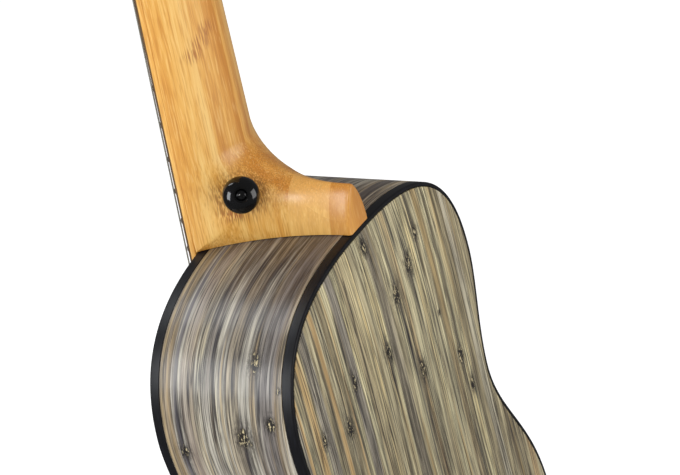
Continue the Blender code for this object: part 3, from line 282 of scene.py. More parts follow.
def distance_to_marks(finish, across, along, marks, cell, stretch, spare=0.6):
    """How far the nearest mark is, over its size: the given ones, in mm, and one in each cell."""
    here = finish.joined(across * 1000, along * (1000 / stretch))
    cells = {"Vector": finish.joined(across / cell[0], along / cell[1])}
    cells |= {"Scale": 1.0, "Randomness": 0.9}
    spot = finish.node("ShaderNodeTexVoronoi", {"voronoi_dimensions": "2D"}, cells, 2)
    scale = (cell[0] * 1000, cell[1] * 1000 / stretch, 0)
    spot = finish.node("ShaderNodeVectorMath", {"operation": "MULTIPLY"}, {0: spot, 1: scale})
    nearest = finish.distance(here, spot) / spare
    for x, z, size in marks:
        nearest = nearest.least(finish.distance(here, (x, z / stretch, 0)) / size)
    return nearest


def weathered_bamboo(name, shift, tones, marks, streaks, bands, stains=0.5, smoked=0.0, painted_light=()):
    """Grey varnished bamboo: thin strips of uneven tone, dark fibres, streaks, bands, node marks and
    painted light.
    """
    finish = Finish(name, coat_roughness=0.24, specular_ior_level=0.4)
    across, along, _ = finish.split(finish.node("ShaderNodeUVMap", {"uv_map": "grain"}))
    across = across + (finish.noise(across * 30, along * 14, shift, 1.0) - 0.5) * 0.0014

    def grown(wide, long, seed, *look):
        return finish.noise(across * wide, along * long, seed + shift, *look)

    strips = {"W": across / strip_width + shift, "Scale": 1.0, "Randomness": 1.0}
    strip = finish.node("ShaderNodeTexVoronoi", {"voronoi_dimensions": "1D"}, strips, 1)
    dice, lot, _ = finish.split(strip)
    joint = {"voronoi_dimensions": "1D", "feature": "DISTANCE_TO_EDGE"}
    joint = finish.node("ShaderNodeTexVoronoi", joint, strips).eased(0.0, 0.05, 1.0, 0.0)
    hair = grown(1350, 34, lot * 9, 3.0, 0.7)
    fibre = grown(640, 22, lot * 5, 4.0, 0.65)
    broad = grown(210, 13, 0, 3.0, 0.65)
    mood = grown(50, 16, 4, 2.0)
    speckle = grown(1900, 420, 0, 2.0, 0.6)
    thread = grown(820, 12, lot * 3 + 7, 3.0, 0.6) - 0.5
    thread = thread.unsigned().eased(0.0, 0.050, 1.0, 0.0) * broad.eased(0.38, 0.54, 0.1, 1.0)
    lines = hair.eased(0.34, 0.66)
    tone = dice * 0.20 + fibre * 0.40 + broad * 0.24 + mood * 0.16
    finish.colour = finish.ramp(tone, (0.34, 0.43, 0.50, 0.57, 0.68), tones)
    finish.glaze(lot.eased(0.66, 0.80, 0.0, 0.30), 178, 154, 108)
    finish.glaze(lot.eased(0.22, 0.12, 0.0, 0.45), 126, 124, 126)
    light = 0.22 + lines * 0.84 + fibre.eased(0.34, 0.66) * 0.36 + speckle * 0.26
    # Painted light: gradients over the strips lighten and darken the grain in place of sheen and
    # reflections.
    for wire, low, high, start, end in painted_light:
        light = light * (across if wire == "across" else along).eased(low, high, start, end)
    finish.colour = finish.mix(1.0, finish.colour, finish.grey(light), "MULTIPLY")
    golden = grown(430, 9, 11, 2.0).eased(0.56, 0.68)
    finish.glaze(golden * (0.12 + lines * 0.45), 182, 154, 98)
    if smoked:
        near_neck = along.eased(0.070, 0.024) * across.eased(0.011, 0.021)
        near_neck = near_neck * across.eased(0.052, 0.037, 0.45, 1.0)
        smoke = near_neck * (0.05 + broad * 1.1 + (1.0 - lines) * 0.55) * smoked
        finish.glaze(smoke, 72, 54, 44)
    finish.glaze(joint * lot.eased(0.3, 0.6, 0.10, 0.55), 66, 56, 46)
    for centre, half, strength, shade in bands:
        offset = across - centre * 0.001
        share = offset.unsigned().eased(half * 0.0006, half * 0.0012, strength, 0.0)
        finish.glaze(share * (0.25 + broad * 0.8 + lines * 0.3), *shade)
    stain = broad.eased(0.50, 0.62) * fibre.eased(0.38, 0.58) * mood.eased(0.36, 0.58)
    finish.glaze(stain * (0.35 + lines * 0.65) * stains, 56, 50, 60)
    dark = hair.eased(0.46, 0.34) * broad.eased(0.34, 0.54)
    finish.glaze((thread * 0.90).most(dark * 0.50), 42, 35, 32)
    wander = grown(900, 260, 0, 2.0) - 0.5
    smear = distance_to_marks(finish, across, along, streaks, (0.052, 0.135), 15.0)
    smear = smear + (broad - 0.5) * 1.8
    smear = smear.eased(0.35, 1.15, 1.0, 0.0) * fibre.eased(0.34, 0.52) * (1.0 - lines * 0.45)
    finish.glaze(smear, 34, 29, 36)
    flecks = grown(1500, 620, 0, 3.0, 0.75)
    nearest = distance_to_marks(finish, across, along, marks, (0.061, 0.128), 1.7) + wander * 1.8
    halo = nearest.eased(0.7, 2.9, 0.85, 0.0) * flecks.eased(0.56, 0.46) * (1.0 - lines * 0.5)
    finish.glaze(halo, 50, 44, 42)
    core = nearest.eased(0.6, 1.5, 1.0, 0.0)
    finish.glaze(core * flecks.eased(0.40, 0.50), 30, 25, 22)
    pith = nearest.eased(0.5, 1.2, 1.0, 0.0) * flecks.eased(0.455, 0.41)
    finish.glaze(pith * 0.85, 208, 192, 148)
    finish.relief(hair * 0.6 + fibre * 0.5 - core * flecks * 1.4, 0.00014, 0.6)
    return finish.done(0.34 + hair * 0.20, coat_weight=0.26 - stain * 0.12)


rib_tones = ((82, 73, 66), (119, 110, 101), (147, 141, 131), (172, 166, 151), (192, 178, 145))
rib_marks = ((38.3, 63.6, 1.7), (33.6, 89.0, 2.1), (10.2, 97.0, 1.5), (44.0, 83.2, 1.4))
rib_streaks = (
    (27.7, 29.5, 1.5), (33.5, 32.5, 1.4), (31.8, 50.0, 1.0), (31.0, 67.0, 1.1), (38.0, 58.0, 1.1),
    (20.6, 37.0, 0.8), (23.0, 59.0, 0.9), (33.0, 101.0, 1.5), (9.8, 92.0, 1.2), (14.3, 74.4, 0.7),
    (18.6, 69.2, 0.6),
)
rib_bands = (
    (9.6, 0.7, 0.75, (72, 70, 84)), (14.0, 2.6, 0.30, (150, 120, 96)),
    (4.4, 0.5, 0.55, (192, 168, 122)), (6.6, 0.4, 0.40, (190, 162, 116)),
    (46.5, 1.5, 0.30, (170, 144, 104)),
)
# Painted sheen on the ribs: lighter towards the soundboard's edge and darker further down, past the
# waist.
rib_painted_sheen = (("across", 0.004, 0.016, 1.16, 1.0), ("along", 0.075, 0.100, 1.0, 0.86))
rib_finish = weathered_bamboo(
    "bamboo_ribs", 3.1, rib_tones, rib_marks, rib_streaks, rib_bands, 0.9, 0.62, rib_painted_sheen
)


def rib(hand):
    """One rib: its section, with a rebate on both edges, carried along the bend."""
    line, normals, lengths = rib_line(rib_steps)
    rebate = -binding_thickness - gap

    def section(i):
        rim = rim_depth(line[i].y)
        front, front_step = soundboard_thickness + gap, binding_height + gap
        back, back_step = rim - back_thickness - gap, rim - binding_height - gap
        outer = [(0, front_step), (0, back_step), (rebate, back_step), (rebate, back)]
        inner = [(-rib_thickness, back), (-rib_thickness, front), (rebate, front), (rebate, front_step)]
        return outer + inner + [(0, front_step)]

    def place(i, j):
        offset, depth = section(i)[j]
        spot = line[i] + normals[i] * offset
        shy = gap / 2 if i in (0, len(line) - 1) else 0
        return Vector((hand * (spot.x + shy), depth, joint_height - spot.y))

    def grain(i, j):
        return section(i)[j][1] + (0 if hand > 0 else 0.21), lengths[i]

    return closed(skin(len(line) - 1, 8, place, grain))


piece("rib_treble", rib(1), rib_finish, replaces=["side_treble"])
piece("rib_bass", rib(-1), rib_finish, replaces=["side_bass"])

# Inner pieces. Blocks at the neck and the tail, bent linings along the ribs' edges, and bars glued
# across the soundboard and the back. All are bare spruce, sawn and left unvarnished inside the body.


def spruce(name):
    """Bare spruce: pale, with darker late wood in fine parallel lines."""
    finish = Finish(name, roughness=0.75)
    x, y, z = finish.place()
    warp = finish.grain(20, 20, 6, 2.0)
    late_wood = (y + x * 0.25) * 4200 + warp * 5
    late_wood = late_wood.math("SINE", late_wood)
    fibres = finish.grain(60, 1800, 60, 2.0)
    finish.colour = finish.mix(late_wood.eased(-0.2, 1.0), paint(222, 192, 146), paint(192, 150, 100))
    finish.glaze(fibres.eased(0.45, 0.7, 0.0, 0.25), 160, 120, 80)
    finish.relief(fibres, 0.0001, 0.4)
    return finish.done(0.66 + fibres * 0.2)


spruce_finish = spruce("spruce_inside")
inner_nodes = ["neck_block", "tail_block", "bridge_plate"]
inner_nodes += [f"lining_{edge}_{side}" for edge in ("top", "back") for side in ("bass", "treble")]
inner_nodes += [f"{plate}_brace_upper" for plate in ("soundboard", "back")]
inner_nodes += [f"{plate}_brace_lower" for plate in ("soundboard", "back")]
for node in inner_nodes:
    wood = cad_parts[node]
    wood.data.materials.clear()
    wood.data.materials.append(spruce_finish)

# Soundboard. A flat bamboo plate, let in between the bindings, with a round sound hole and a
# ring of darker inlay round it. The fibres run along the neck.

sound_hole_radius = 0.0245
sound_hole_drop = 0.080
ring_radii = (0.0290, 0.0322)
ring_proud = 0.00006
face_out = Matrix.Rotation(math.pi / 2, 4, "X")
plate_tones = ((98, 88, 66), (138, 127, 99), (163, 153, 122), (179, 171, 137), (194, 175, 124))


def thickened(bm, along):
    """Gives a sheet its thickness along a vector, and closes it."""
    bmesh.ops.remove_doubles(bm, verts=bm.verts, dist=1e-6)
    made = bmesh.ops.extrude_face_region(bm, geom=bm.faces[:])
    moved = [part for part in made["geom"] if isinstance(part, bmesh.types.BMVert)]
    bmesh.ops.translate(bm, vec=along, verts=moved)
    return closed(bm)


def plate_edge():
    """The treble half of a plate's edge, which lies inside the binding."""
    line, normals, _ = rib_line(rib_steps)
    return [point - normal * (binding_thickness + gap) for point, normal in zip(line, normals)]


def soundboard():
    """The plate as a ring between the hole and the rim, drawn down to its thickness."""
    edge = plate_edge()
    edge += [Vector((-point.x, point.y)) for point in edge[-2:0:-1]]
    count = len(edge)

    def place(i, j):
        rim = edge[j % count]
        aim = math.atan2(rim.x, sound_hole_drop - rim.y)
        outwards = Vector((math.sin(aim), -math.cos(aim)))
        hole = outwards * sound_hole_radius + Vector((0, sound_hole_drop))
        spot = hole.lerp(rim, i / 4)
        return Vector((spot.x, 0, joint_height - spot.y))

    sheet = skin(4, count, place, lambda i, j: (place(i, j).x, place(i, j).z))
    return thickened(sheet, (0, soundboard_thickness, 0))


front_finish = weathered_bamboo("bamboo_front", 7.7, plate_tones, (), (), (), 0.45)
piece("soundboard_plate", soundboard(), front_finish, replaces=["soundboard"])


def turned(profile, steps, seat):
    """What a lathe makes of (radius, height) points on an axis or a closed line, set on its seat."""
    bm = bmesh.new()
    verts = [bm.verts.new((radius, 0, height)) for radius, height in profile]
    edges = [bm.edges.new(pair) for pair in zip(verts, verts[1:])]
    around = {"cent": (0, 0, 0), "axis": (0, 0, 1), "angle": 2 * math.pi}
    bmesh.ops.spin(bm, geom=verts + edges, steps=steps, use_merge=True, **around)
    bm.transform(seat)
    return closed(bm)


def dark_wood(name, first, second):
    """Oiled dark wood with open pores along its grain, which runs across the body."""
    finish = Finish(name, roughness=0.5, coat_weight=0.05)
    flow = finish.grain(12, 120, 160, 3.0, 0.6)
    pores = finish.grain(180, 2400, 2400, 2.0)
    finish.colour = finish.mix(flow.eased(0.35, 0.65), first, second)
    finish.glaze(pores.eased(0.58, 0.70, 0.0, 0.7), 14, 9, 7)
    finish.relief(1 - pores.eased(0.58, 0.70), 0.0001, 0.5)
    return finish.done(0.42 + pores * 0.25)


rosewood = dark_wood("dark_wood_oiled", paint(58, 36, 26), paint(92, 58, 40))
inner, outer = ring_radii
section = [(inner, 0.0), (inner, ring_proud), (outer, ring_proud), (outer, 0.0), (inner, 0.0)]
facing = Matrix.Translation((0, 0.00002, joint_height - sound_hole_drop)) @ face_out
piece("rosette_dark_ring", turned(section, 128, facing), rosewood)

# Back. A thin bamboo plate, crowned across and arched along its length, let in between the bindings.
# Its strips run along the neck, grey and olive with amber ones between, and some have dark nodes.

crown_height = 0.0025


def back_plate():
    """The crowned plate: a grid over the back, drawn in to its thickness."""
    edge = plate_edge()
    columns = 40

    def place(i, j):
        share = 2 * j / columns - 1
        width, drop = max(edge[i].x, 0.0), edge[i].y
        crown = crown_height * (2 * width / lower_bout_width) ** 2 * (1 - share**2)
        return Vector((width * share, rim_depth(drop) + crown, joint_height - drop))

    def grain(i, j):
        return place(i, j).x, place(i, j).z - joint_height

    return thickened(skin(len(edge) - 1, columns, place, grain), (0, -back_thickness, 0))


back_marks = (
    (2.3, -6.6, 1.9), (-8.9, -30.6, 2.1), (-22.0, -26.0, 2.2), (-31.6, -19.0, 1.5), (5.2, -45.0, 1.9),
    (-14.2, -62.8, 2.0), (-42.7, -74.8, 1.8), (-46.6, -89.0, 1.6), (29.2, -41.5, 1.7),
    (38.7, -53.0, 1.9), (53.9, -48.6, 1.6),
)
back_streaks = (
    (-9.8, -44.3, 1.7), (-8.9, -27.0, 1.1), (-12.0, -84.0, 1.3), (-14.0, -108.0, 1.5),
    (14.9, -72.0, 1.3), (-41.3, -112.0, 1.9), (-67.2, -127.0, 1.2), (-17.0, -8.0, 1.1),
    (-31.5, -17.0, 1.1), (-21.5, -28.0, 1.7), (31.2, -26.0, 0.9), (20.4, -20.0, 0.7), (5.6, -52.0, 1.3),
    (29.6, -48.0, 1.0),
)
back_bands = (
    (43.6, 1.2, 0.75, (192, 152, 92)), (45.4, 0.4, 0.80, (78, 62, 44)),
    (57.0, 1.9, 0.75, (194, 156, 94)), (59.4, 0.4, 0.80, (78, 60, 42)),
    (-79.5, 2.6, 0.70, (190, 156, 98)), (-43.4, 0.6, 0.90, (56, 44, 34)),
    (-9.8, 0.6, 0.80, (46, 42, 50)), (-12.4, 0.4, 0.60, (50, 42, 40)),
    (-14.0, 0.9, 0.45, (172, 140, 92)), (34.6, 0.5, 0.65, (174, 136, 84)),
    (33.4, 0.4, 0.60, (70, 62, 52)), (63.5, 0.8, 0.70, (180, 140, 84)), (20.5, 0.4, 0.60, (62, 54, 48)),
    (-66.0, 0.5, 0.60, (80, 64, 46)),
)
# Painted reflection on the back: lighter towards the neck, darker further down, and lighter towards the
# bass rim.
back_painted_reflection = (("along", -0.085, -0.012, 0.91, 1.24), ("across", -0.065, -0.020, 1.26, 1.0))
back_finish = weathered_bamboo(
    "bamboo_back", 12.4, plate_tones, back_marks, back_streaks, back_bands, 0.5, 0.0, back_painted_reflection
)
piece("back_plate_crowned", back_plate(), back_finish, replaces=["back_plate"])

# Bindings. Black plastic strips, bent round both edges of the body and glued into the ribs'
# rebates, then scraped flush and eased along the outer corner. Varnish gives them a satin sheen.

binding_round = 0.0006
binding_arc = 5


def satin_black(name):
    """Black plastic under satin varnish, with faint rub marks along it."""
    finish = Finish(name, coat_weight=0.06, coat_roughness=0.35, specular_ior_level=0.32)
    rubs = finish.grain(240, 1500, 240, 3.0, 0.6)
    specks = finish.grain(2600, 2600, 2600, 1.0)
    finish.colour = finish.mix(rubs.eased(0.45, 0.75), paint(11, 11, 15), paint(19, 20, 29))
    finish.relief(rubs + specks * 0.3, 0.00005, 0.25)
    return finish.done(0.38 + rubs * 0.14 + specks.eased(0.7, 0.8) * 0.2)


def between(start, end, share):
    return start + (end - start) * share


def arc(centre, across, rise, start, end, steps):
    """Points along an elliptic arc from one angle to another, in degrees from its outer end."""
    turns = [math.radians(between(start, end, step / steps)) for step in range(steps + 1)]
    return [(centre[0] + across * math.cos(turn), centre[1] + rise * math.sin(turn)) for turn in turns]


def binding(on_back):
    """One strip's section, its outer corner rounded, carried right round the outline."""
    line, normals, lengths = rib_line(rib_steps)
    around = list(zip(line, normals, lengths))
    for point, normal, length in around[-2::-1]:
        mirrored = Vector((-point.x, point.y)), Vector((-normal.x, normal.y))
        around.append((*mirrored, 2 * lengths[-1] - length))
    centre = (-binding_round, binding_round)
    corner = arc(centre, binding_round, binding_round, -90, 0, binding_arc)
    foot = [(-binding_thickness, binding_height), (-binding_thickness, 0.0)]
    profile = foot[1:] + corner + [(0.0, binding_height)] + foot

    def place(i, j):
        point, normal, _ = around[i]
        offset, rise = profile[j]
        spot = point + normal * offset
        depth = rim_depth(point.y) - rise if on_back else rise
        return Vector((spot.x, depth, joint_height - spot.y))

    def grain(i, j):
        return profile[j][1], around[i][2]

    return closed(skin(len(around) - 1, len(profile) - 1, place, grain))


binding_finish = satin_black("black_binding_satin")
piece("binding_front", binding(False), binding_finish, replaces=["top_binding"])
piece("binding_back", binding(True), binding_finish, replaces=["back_binding"])

# Neck. Amber bamboo, glued up and carved in one sweep from the headstock to the heel. Under the
# neck two blocks are stacked for the heel, so two glued joints cross it, and a flat cap ends it
# at the back's rim.

joint_width = 0.0445
nut_width = 0.035
nut_top = -0.008
joint_to_nut = 0.173
neck_depth = 0.0139
neck_depth_at_nut = 0.0108
neck_fullness = 1.52
neck_sides = 48
heel_depth = rim_depths[0]
heel_height = 0.016
heel_cap_half_width = 0.0064
heel_fullness = 1.57
glue_lines = (0.0297, 0.0432)
sweep = (0.033, 0.016)
sweep_centre = (neck_depth + sweep[0], heel_height + sweep[1])
head_length = 0.106
head_width = 0.051
head_flare = 0.004
head_shoulder = 0.013
head_thickness = 0.0115
head_fullness = 9.0
head_frame = Matrix.Translation((0, 0, nut_top)) @ Matrix.Rotation(-math.radians(12), 4, "X")
glue_face = -0.0002
coarse_line, coarse_normals, _ = rib_line(16)
body_top = [point + normal * gap for point, normal in zip(coarse_line, coarse_normals)]


def neck_half_width(z):
    """Half of the neck's width at a height over the joint."""
    return between(joint_width, nut_width, min(z / joint_to_nut, 1)) / 2


def rib_top(x):
    """How far the body's upper end lies under the joint's height, at a distance from the middle."""
    for here, after in zip(body_top, body_top[1:]):
        if here.x <= abs(x) <= after.x:
            return -between(here.y, after.y, (abs(x) - here.x) / (after.x - here.x))
    return gap


def carved(base, ridge, half_width, fullness, on_rib, eased=0.0):
    """Points of one section: over the ridge from edge to edge, then back along the foot."""
    points = []
    for step in range(neck_sides + 1):
        cosine = math.cos(math.pi * step / neck_sides)
        x = half_width * math.copysign(abs(cosine) ** (2 / fullness), cosine)
        rise = math.sin(math.pi * step / neck_sides) ** (2 / fullness)
        y, z = (between(low, high, rise) for low, high in zip(base, ridge))
        if on_rib:
            z += rib_top(x) * (1 - rise)
        points.append(Vector((x, max(y, eased) if eased else y, joint_height + z)))
    for share in (-1, -0.75, -0.5, -0.25, 0, 0.25, 0.5, 0.75, 1):
        x = (half_width - eased - 0.0001) * share
        z = rib_top(x) if on_rib else base[1]
        points.append(Vector((x, base[0], joint_height + z)))
    return points + points[:1]


def heel_width(depth):
    """Half of the heel's width on the rib, drawn in to the cap along a hollow curve."""
    share = max(0.0, 1 - depth / heel_depth)
    return between(heel_cap_half_width, joint_width / 2, share**1.96)


def neck_rings():
    """All sections of the neck: heel cap, heel, sweep, neck and headstock."""
    rings = []
    eased_edge = (0.0, 0.0010), (0.00015, 0.0005), (0.00045, 0.0002), (0.0010, 0.0), (0.0020, 0.0)
    for short, inset in eased_edge:
        depth = heel_depth - short
        ridge = (depth, heel_height - inset)
        rings.append(carved((depth, 0), ridge, heel_width(depth) - inset, heel_fullness, True))
    centre_y, centre_z = sweep_centre
    corner = math.atan2(centre_z * sweep[0], centre_y * sweep[1])
    angles = [between(math.pi / 2, corner, step / 28) for step in range(29)]
    angles += [corner * (1 - step / 22) for step in range(1, 23)]
    for angle in angles:
        deep, tall = sweep[0] * math.cos(angle), sweep[1] * math.sin(angle)
        ridge = (centre_y - deep, centre_z - tall)
        fullness = between(neck_fullness, heel_fullness, angle / (math.pi / 2))
        if angle >= corner - 1e-9:
            base = (centre_y - deep * centre_z / tall, 0)
            rings.append(carved(base, ridge, heel_width(base[0]), fullness, True))
        else:
            base = (0, centre_z - tall * centre_y / deep)
            width = neck_half_width(base[1])
            rings.append(carved((glue_face, base[1]), ridge, width, fullness, False))
    for step in range(1, 13):
        z = between(centre_z, joint_to_nut + 0.005, step / 12)
        depth = between(neck_depth, neck_depth_at_nut, step / 12)
        rings.append(carved((glue_face, z), (depth, z), neck_half_width(z), neck_fullness, False))
    return rings + head_rings()


def settle(share):
    """A share, eased in and out."""
    share = min(max(share, 0.0), 1.0)
    return share * share * (3 - 2 * share)


def head_rings():
    """Sections of the headstock, which leans back from the nut. They run on past its crest."""
    rings = []
    settled, waste = 1.6 * head_shoulder, 0.009
    places = [settled * step / 16 for step in range(1, 17)]
    places += [between(settled, head_length + waste, step / 10) for step in range(1, 11)]
    for rise in places:
        blend = settle(rise / settled)
        thickness = between(neck_depth_at_nut, head_thickness, blend)
        shoulder = settle(rise / head_shoulder - 0.25)
        width = between(nut_width, head_width + head_flare * rise / head_length, shoulder) / 2
        fullness = between(neck_fullness, head_fullness, blend**2)
        ring = carved((0, 0), (thickness, 0), width, fullness, False, 0.0005 * blend)
        rings.append([head_frame @ Vector((point.x, point.y, rise)) for point in ring])
    return rings


def crest_height(x):
    """The headstock's upper end: a peak in the middle, dips beside it and a lift at the corners."""
    share = min(abs(x) / (head_width + head_flare) * 2, 1)
    return head_length - 0.003 * (math.sin(math.pi * share) ** 2 + share**2)


def above_crest():
    """The waste over the crest, sawn off the headstock."""

    def place(i, j):
        x = 0.0005 * (j - 64)
        return Vector((x, -0.01, head_length + 0.019 if i else crest_height(x)))

    waste = thickened(skin(1, 128, place), (0, 0.04, 0))
    waste.transform(head_frame)
    return waste


def cut(made, *cutters):
    """Cuts solids out of a piece and keeps the result as its mesh."""
    for cutter in cutters:
        tool = put("cutter", cutter)
        modifier = made.modifiers.new("cut", "BOOLEAN")
        modifier.solver = "EXACT"
        modifier.object = tool
        bpy.context.view_layer.update()
        now = made.evaluated_get(bpy.context.evaluated_depsgraph_get())
        result = bpy.data.meshes.new_from_object(now)
        made.modifiers.clear()
        uncut, made.data = made.data, result
        bpy.data.meshes.remove(uncut)
        bpy.data.objects.remove(tool)
        result.shade_smooth()
        result.set_sharp_from_angle(angle=math.radians(32))


def neck():
    """The rings of the neck joined into one skin."""
    rings = neck_rings()
    return closed(skin(len(rings) - 1, len(rings[0]) - 1, lambda i, j: rings[i][j]))


ply_width, ply_depth = 0.0062, 0.021


def amber_bamboo(name, depth_of_tone, marks, ridge=0.0, dark_face_from=0.0, button=()):
    """Honey-coloured bamboo: soft strips, short fibres along it, and dots where it is cut across."""
    finish = Finish(name, coat_roughness=0.25, specular_ior_level=0.5)
    x, y, z = finish.place()
    sway = finish.grain(30, 30, 9, 1.0) - 0.5
    cells = {"Vector": finish.joined((x + sway * 0.003) / ply_width, y / ply_depth)}
    cells |= {"Scale": 1.0, "Randomness": 0.7}
    strip = finish.node("ShaderNodeTexVoronoi", {"voronoi_dimensions": "2D"}, cells, 1)
    dice, lot, _ = finish.split(strip)
    soft = finish.grain(230, 200, 7, 3.0, 0.55, seed=lot * 4)
    fibres = finish.grain(1500, 1500, 34, 2.0, 0.6, seed=lot * 7)
    dashes = finish.grain(2200, 2200, 120, 1.0, 0.4, seed=dice * 9)
    facing = finish.split(finish.node("ShaderNodeTexCoord", output=1))
    cut_across = facing[2].unsigned().eased(0.20, 0.75)
    tone = dice * 0.12 + soft * 0.68 + fibres * 0.20 + depth_of_tone + cut_across * 0.05
    if ridge:
        either_side = x.eased(ridge + 0.0012, ridge - 0.0006) * x.eased(-ridge - 0.0012, 0.0006 - ridge)
        tone = tone + either_side * 0.13
    ambers = (244, 202, 122), (236, 184, 97), (225, 164, 72), (202, 132, 42)
    finish.colour = finish.ramp(tone, (0.32, 0.45, 0.56, 0.72), ambers)
    finish.glaze(dashes.eased(0.54, 0.68, 0.0, 0.40), 190, 120, 42)
    finish.glaze(fibres.eased(0.56, 0.70, 0.0, 0.30), 194, 130, 50)
    finish.glaze(cut_across * 0.28, 232, 150, 46)
    pores = finish.grain(2600, 2600, 700, 1.0, 0.5).eased(0.52, 0.62)
    finish.glaze(pores * cut_across * 0.42, 150, 86, 26)
    finish.glaze(dashes.eased(0.44, 0.32, 0.0, 0.30), 250, 214, 138)
    heel = z.eased(-0.10, -0.11)
    under_neck, cap = (heel * y.eased(line - 0.0001, line + 0.0001) for line in glue_lines)
    finish.glaze(under_neck * (1.0 - cap) * 0.40, 247, 200, 118)
    finish.glaze(cap * 0.45, 200, 136, 58)
    if button:
        # Painted shadow: the wood round the strap button is darkened, dappled by the fibres, where the
        # button's shadow falls.
        far = finish.distance(finish.joined(x, y, z), button)
        painted_button_shadow = far.eased(0.0066, 0.0120, 1.0, 0.0) * dashes.eased(0.38, 0.60, 0.10, 1.0)
        painted_button_shadow = painted_button_shadow * z.eased(-0.1575, -0.1670, 0.1, 1.0)
        finish.glaze(painted_button_shadow * 0.60, 124, 68, 22)
    marked = distance_to_marks(finish, x, z, marks, (0.031, 0.230), 0.9, 1.1)
    marked = marked + (finish.grain(900, 900, 400, 2.0) - 0.5) * 1.2
    node_shade = marked.eased(0.5, 2.6, 1.0, 0.0) * dashes.eased(0.42, 0.54)
    finish.glaze(node_shade * 0.75, 168, 98, 40)
    if dark_face_from:
        # The board's face, in front of this depth, is drawn dark brown.
        face = y.eased(dark_face_from, dark_face_from + 0.0001, 0.94, 0.0)
        finish.glaze(face * (0.8 + fibres * 0.3), 58, 40, 30)
    finish.relief(fibres * 0.7 + dashes * 0.5, 0.00008, 0.35)
    return finish.done(0.33 + fibres * 0.14, coat_weight=0.42 + soft * 0.14)


neck_marks = ((5.5, -113.4, 1.9), (8.7, -116.6, 2.0), (12.0, -119.8, 1.7))
neck_finish = amber_bamboo("bamboo_amber", 0.0, neck_marks, 0.0056, button=(0.0135, 0.0164, -0.1690))
neck_nodes = ["neck_shaft", "heel_block", "heel_cap"]
neck_piece = piece("neck_and_heel", neck(), neck_finish, replaces=neck_nodes)
cut(neck_piece, above_crest())

# Fretboard, frets and nut. A darker bamboo board, glued to the neck and running on over the soundboard,
# with twelve nickel silver frets pressed into sawn slots, pearl dots, and a bone nut at its upper end.

scale_length = 0.346
fret_zero = nut_top - 0.005
board_face = -0.0032
dotted_frets = (5, 7, 10)
dot_radius = 0.0023


def rolled(bm, edges, size, steps):
    """Rounds edges over."""
    settings = {"segments": steps, "profile": 0.5, "affect": "EDGES", "clamp_overlap": True}
    bmesh.ops.bevel(bm, geom=edges, offset=size, offset_type="OFFSET", material=-1, **settings)


def cleaned(node, ease=0.0, steps=2):
    """A CAD node's own shape, with its triangles joined and its sharp edges eased."""
    bm = bmesh.new()
    bm.from_mesh(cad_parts[node].data)
    bmesh.ops.remove_doubles(bm, verts=bm.verts, dist=1e-6)
    bmesh.ops.dissolve_limit(bm, angle_limit=math.radians(0.5), verts=bm.verts, edges=bm.edges)
    if ease:
        bent = math.radians(50)
        sharp = [edge for edge in bm.edges if edge.is_manifold and edge.calc_face_angle() > bent]
        rolled(bm, sharp, ease, steps)
    bmesh.ops.recalc_face_normals(bm, faces=bm.faces)
    return bm


def nickel(name, tint, rough):
    """Polished nickel with fine rub marks and a breath of tarnish."""
    finish = Finish(name, metallic=1.0)
    rubs = finish.grain(400, 1600, 1600, 3.0, 0.6)
    bloom = finish.grain(90, 90, 90, 2.0)
    tarnish = (*(0.82 * level for level in tint[:3]), 1.0)
    finish.colour = finish.mix(bloom.eased(0.4, 0.75), tint, tarnish)
    finish.relief(rubs, 0.00003, 0.3)
    return finish.done(rough + rubs * 0.16 + bloom * 0.08)


def block(low, high, seat=Matrix.Identity(4)):
    """A plain block between two corners, set on its seat."""
    low, high = Vector(low), Vector(high)
    place = seat @ Matrix.Translation((low + high) / 2) @ Matrix.Diagonal((*(high - low), 1))
    bm = bmesh.new()
    bmesh.ops.create_cube(bm, size=1.0, matrix=place)
    return bm


def fretboard():
    """The board: a block, drawn in to the nut's width, with its long edges rolled."""
    low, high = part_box("fretboard")
    bm = block(low, high)
    for vert in bm.verts:
        vert.co.x = math.copysign(high[0] if vert.co.z < joint_height else nut_width / 2, vert.co.x)
    long_edges = [edge for edge in bm.edges if abs(edge.verts[0].co.z - edge.verts[1].co.z) > 0.05]
    rolled(bm, long_edges, 0.0004, 3)
    bmesh.ops.recalc_face_normals(bm, faces=bm.faces)
    return bm


board_finish = amber_bamboo("bamboo_fretboard", 0.08, (), 0.0, -0.0023)
piece("fretboard_stained", fretboard(), board_finish, replaces=["fretboard"])
fret_finish = nickel("nickel_silver", paint(206, 202, 194), 0.16)
for number in range(1, 13):
    node = f"fret_{number:02d}"
    piece(f"{node}_wire", cleaned(node), fret_finish, replaces=[node], sharp=50)


def bone(name):
    """Polished bone: warm white with fine short pores."""
    finish = Finish(name, subsurface_weight=0.1, coat_weight=0.15)
    pores = finish.grain(700, 3000, 3000, 2.0)
    cloud = finish.grain(120, 120, 120, 2.0)
    finish.colour = finish.mix(cloud.eased(0.35, 0.7), paint(240, 234, 214), paint(226, 214, 186))
    finish.glaze(pores.eased(0.66, 0.74, 0.0, 0.4), 176, 158, 126)
    finish.relief(pores, 0.00003, 0.3)
    return finish.done(0.30 + pores * 0.2)


bone_finish = bone("bone_polished")
piece("nut_bone", cleaned("nut", 0.0002), bone_finish, replaces=["nut"])


def pearl(name):
    """Mother of pearl: pale, with soft bands of pink and green."""
    finish = Finish(name, roughness=0.18, coat_weight=0.4)
    bands = finish.grain(500, 500, 320, 2.0, 0.5, 1.5)
    tints = (224, 226, 214), (238, 226, 222), (208, 224, 222)
    finish.feed(base_color=finish.ramp(bands, (0.3, 0.5, 0.7), tints))
    return finish.material


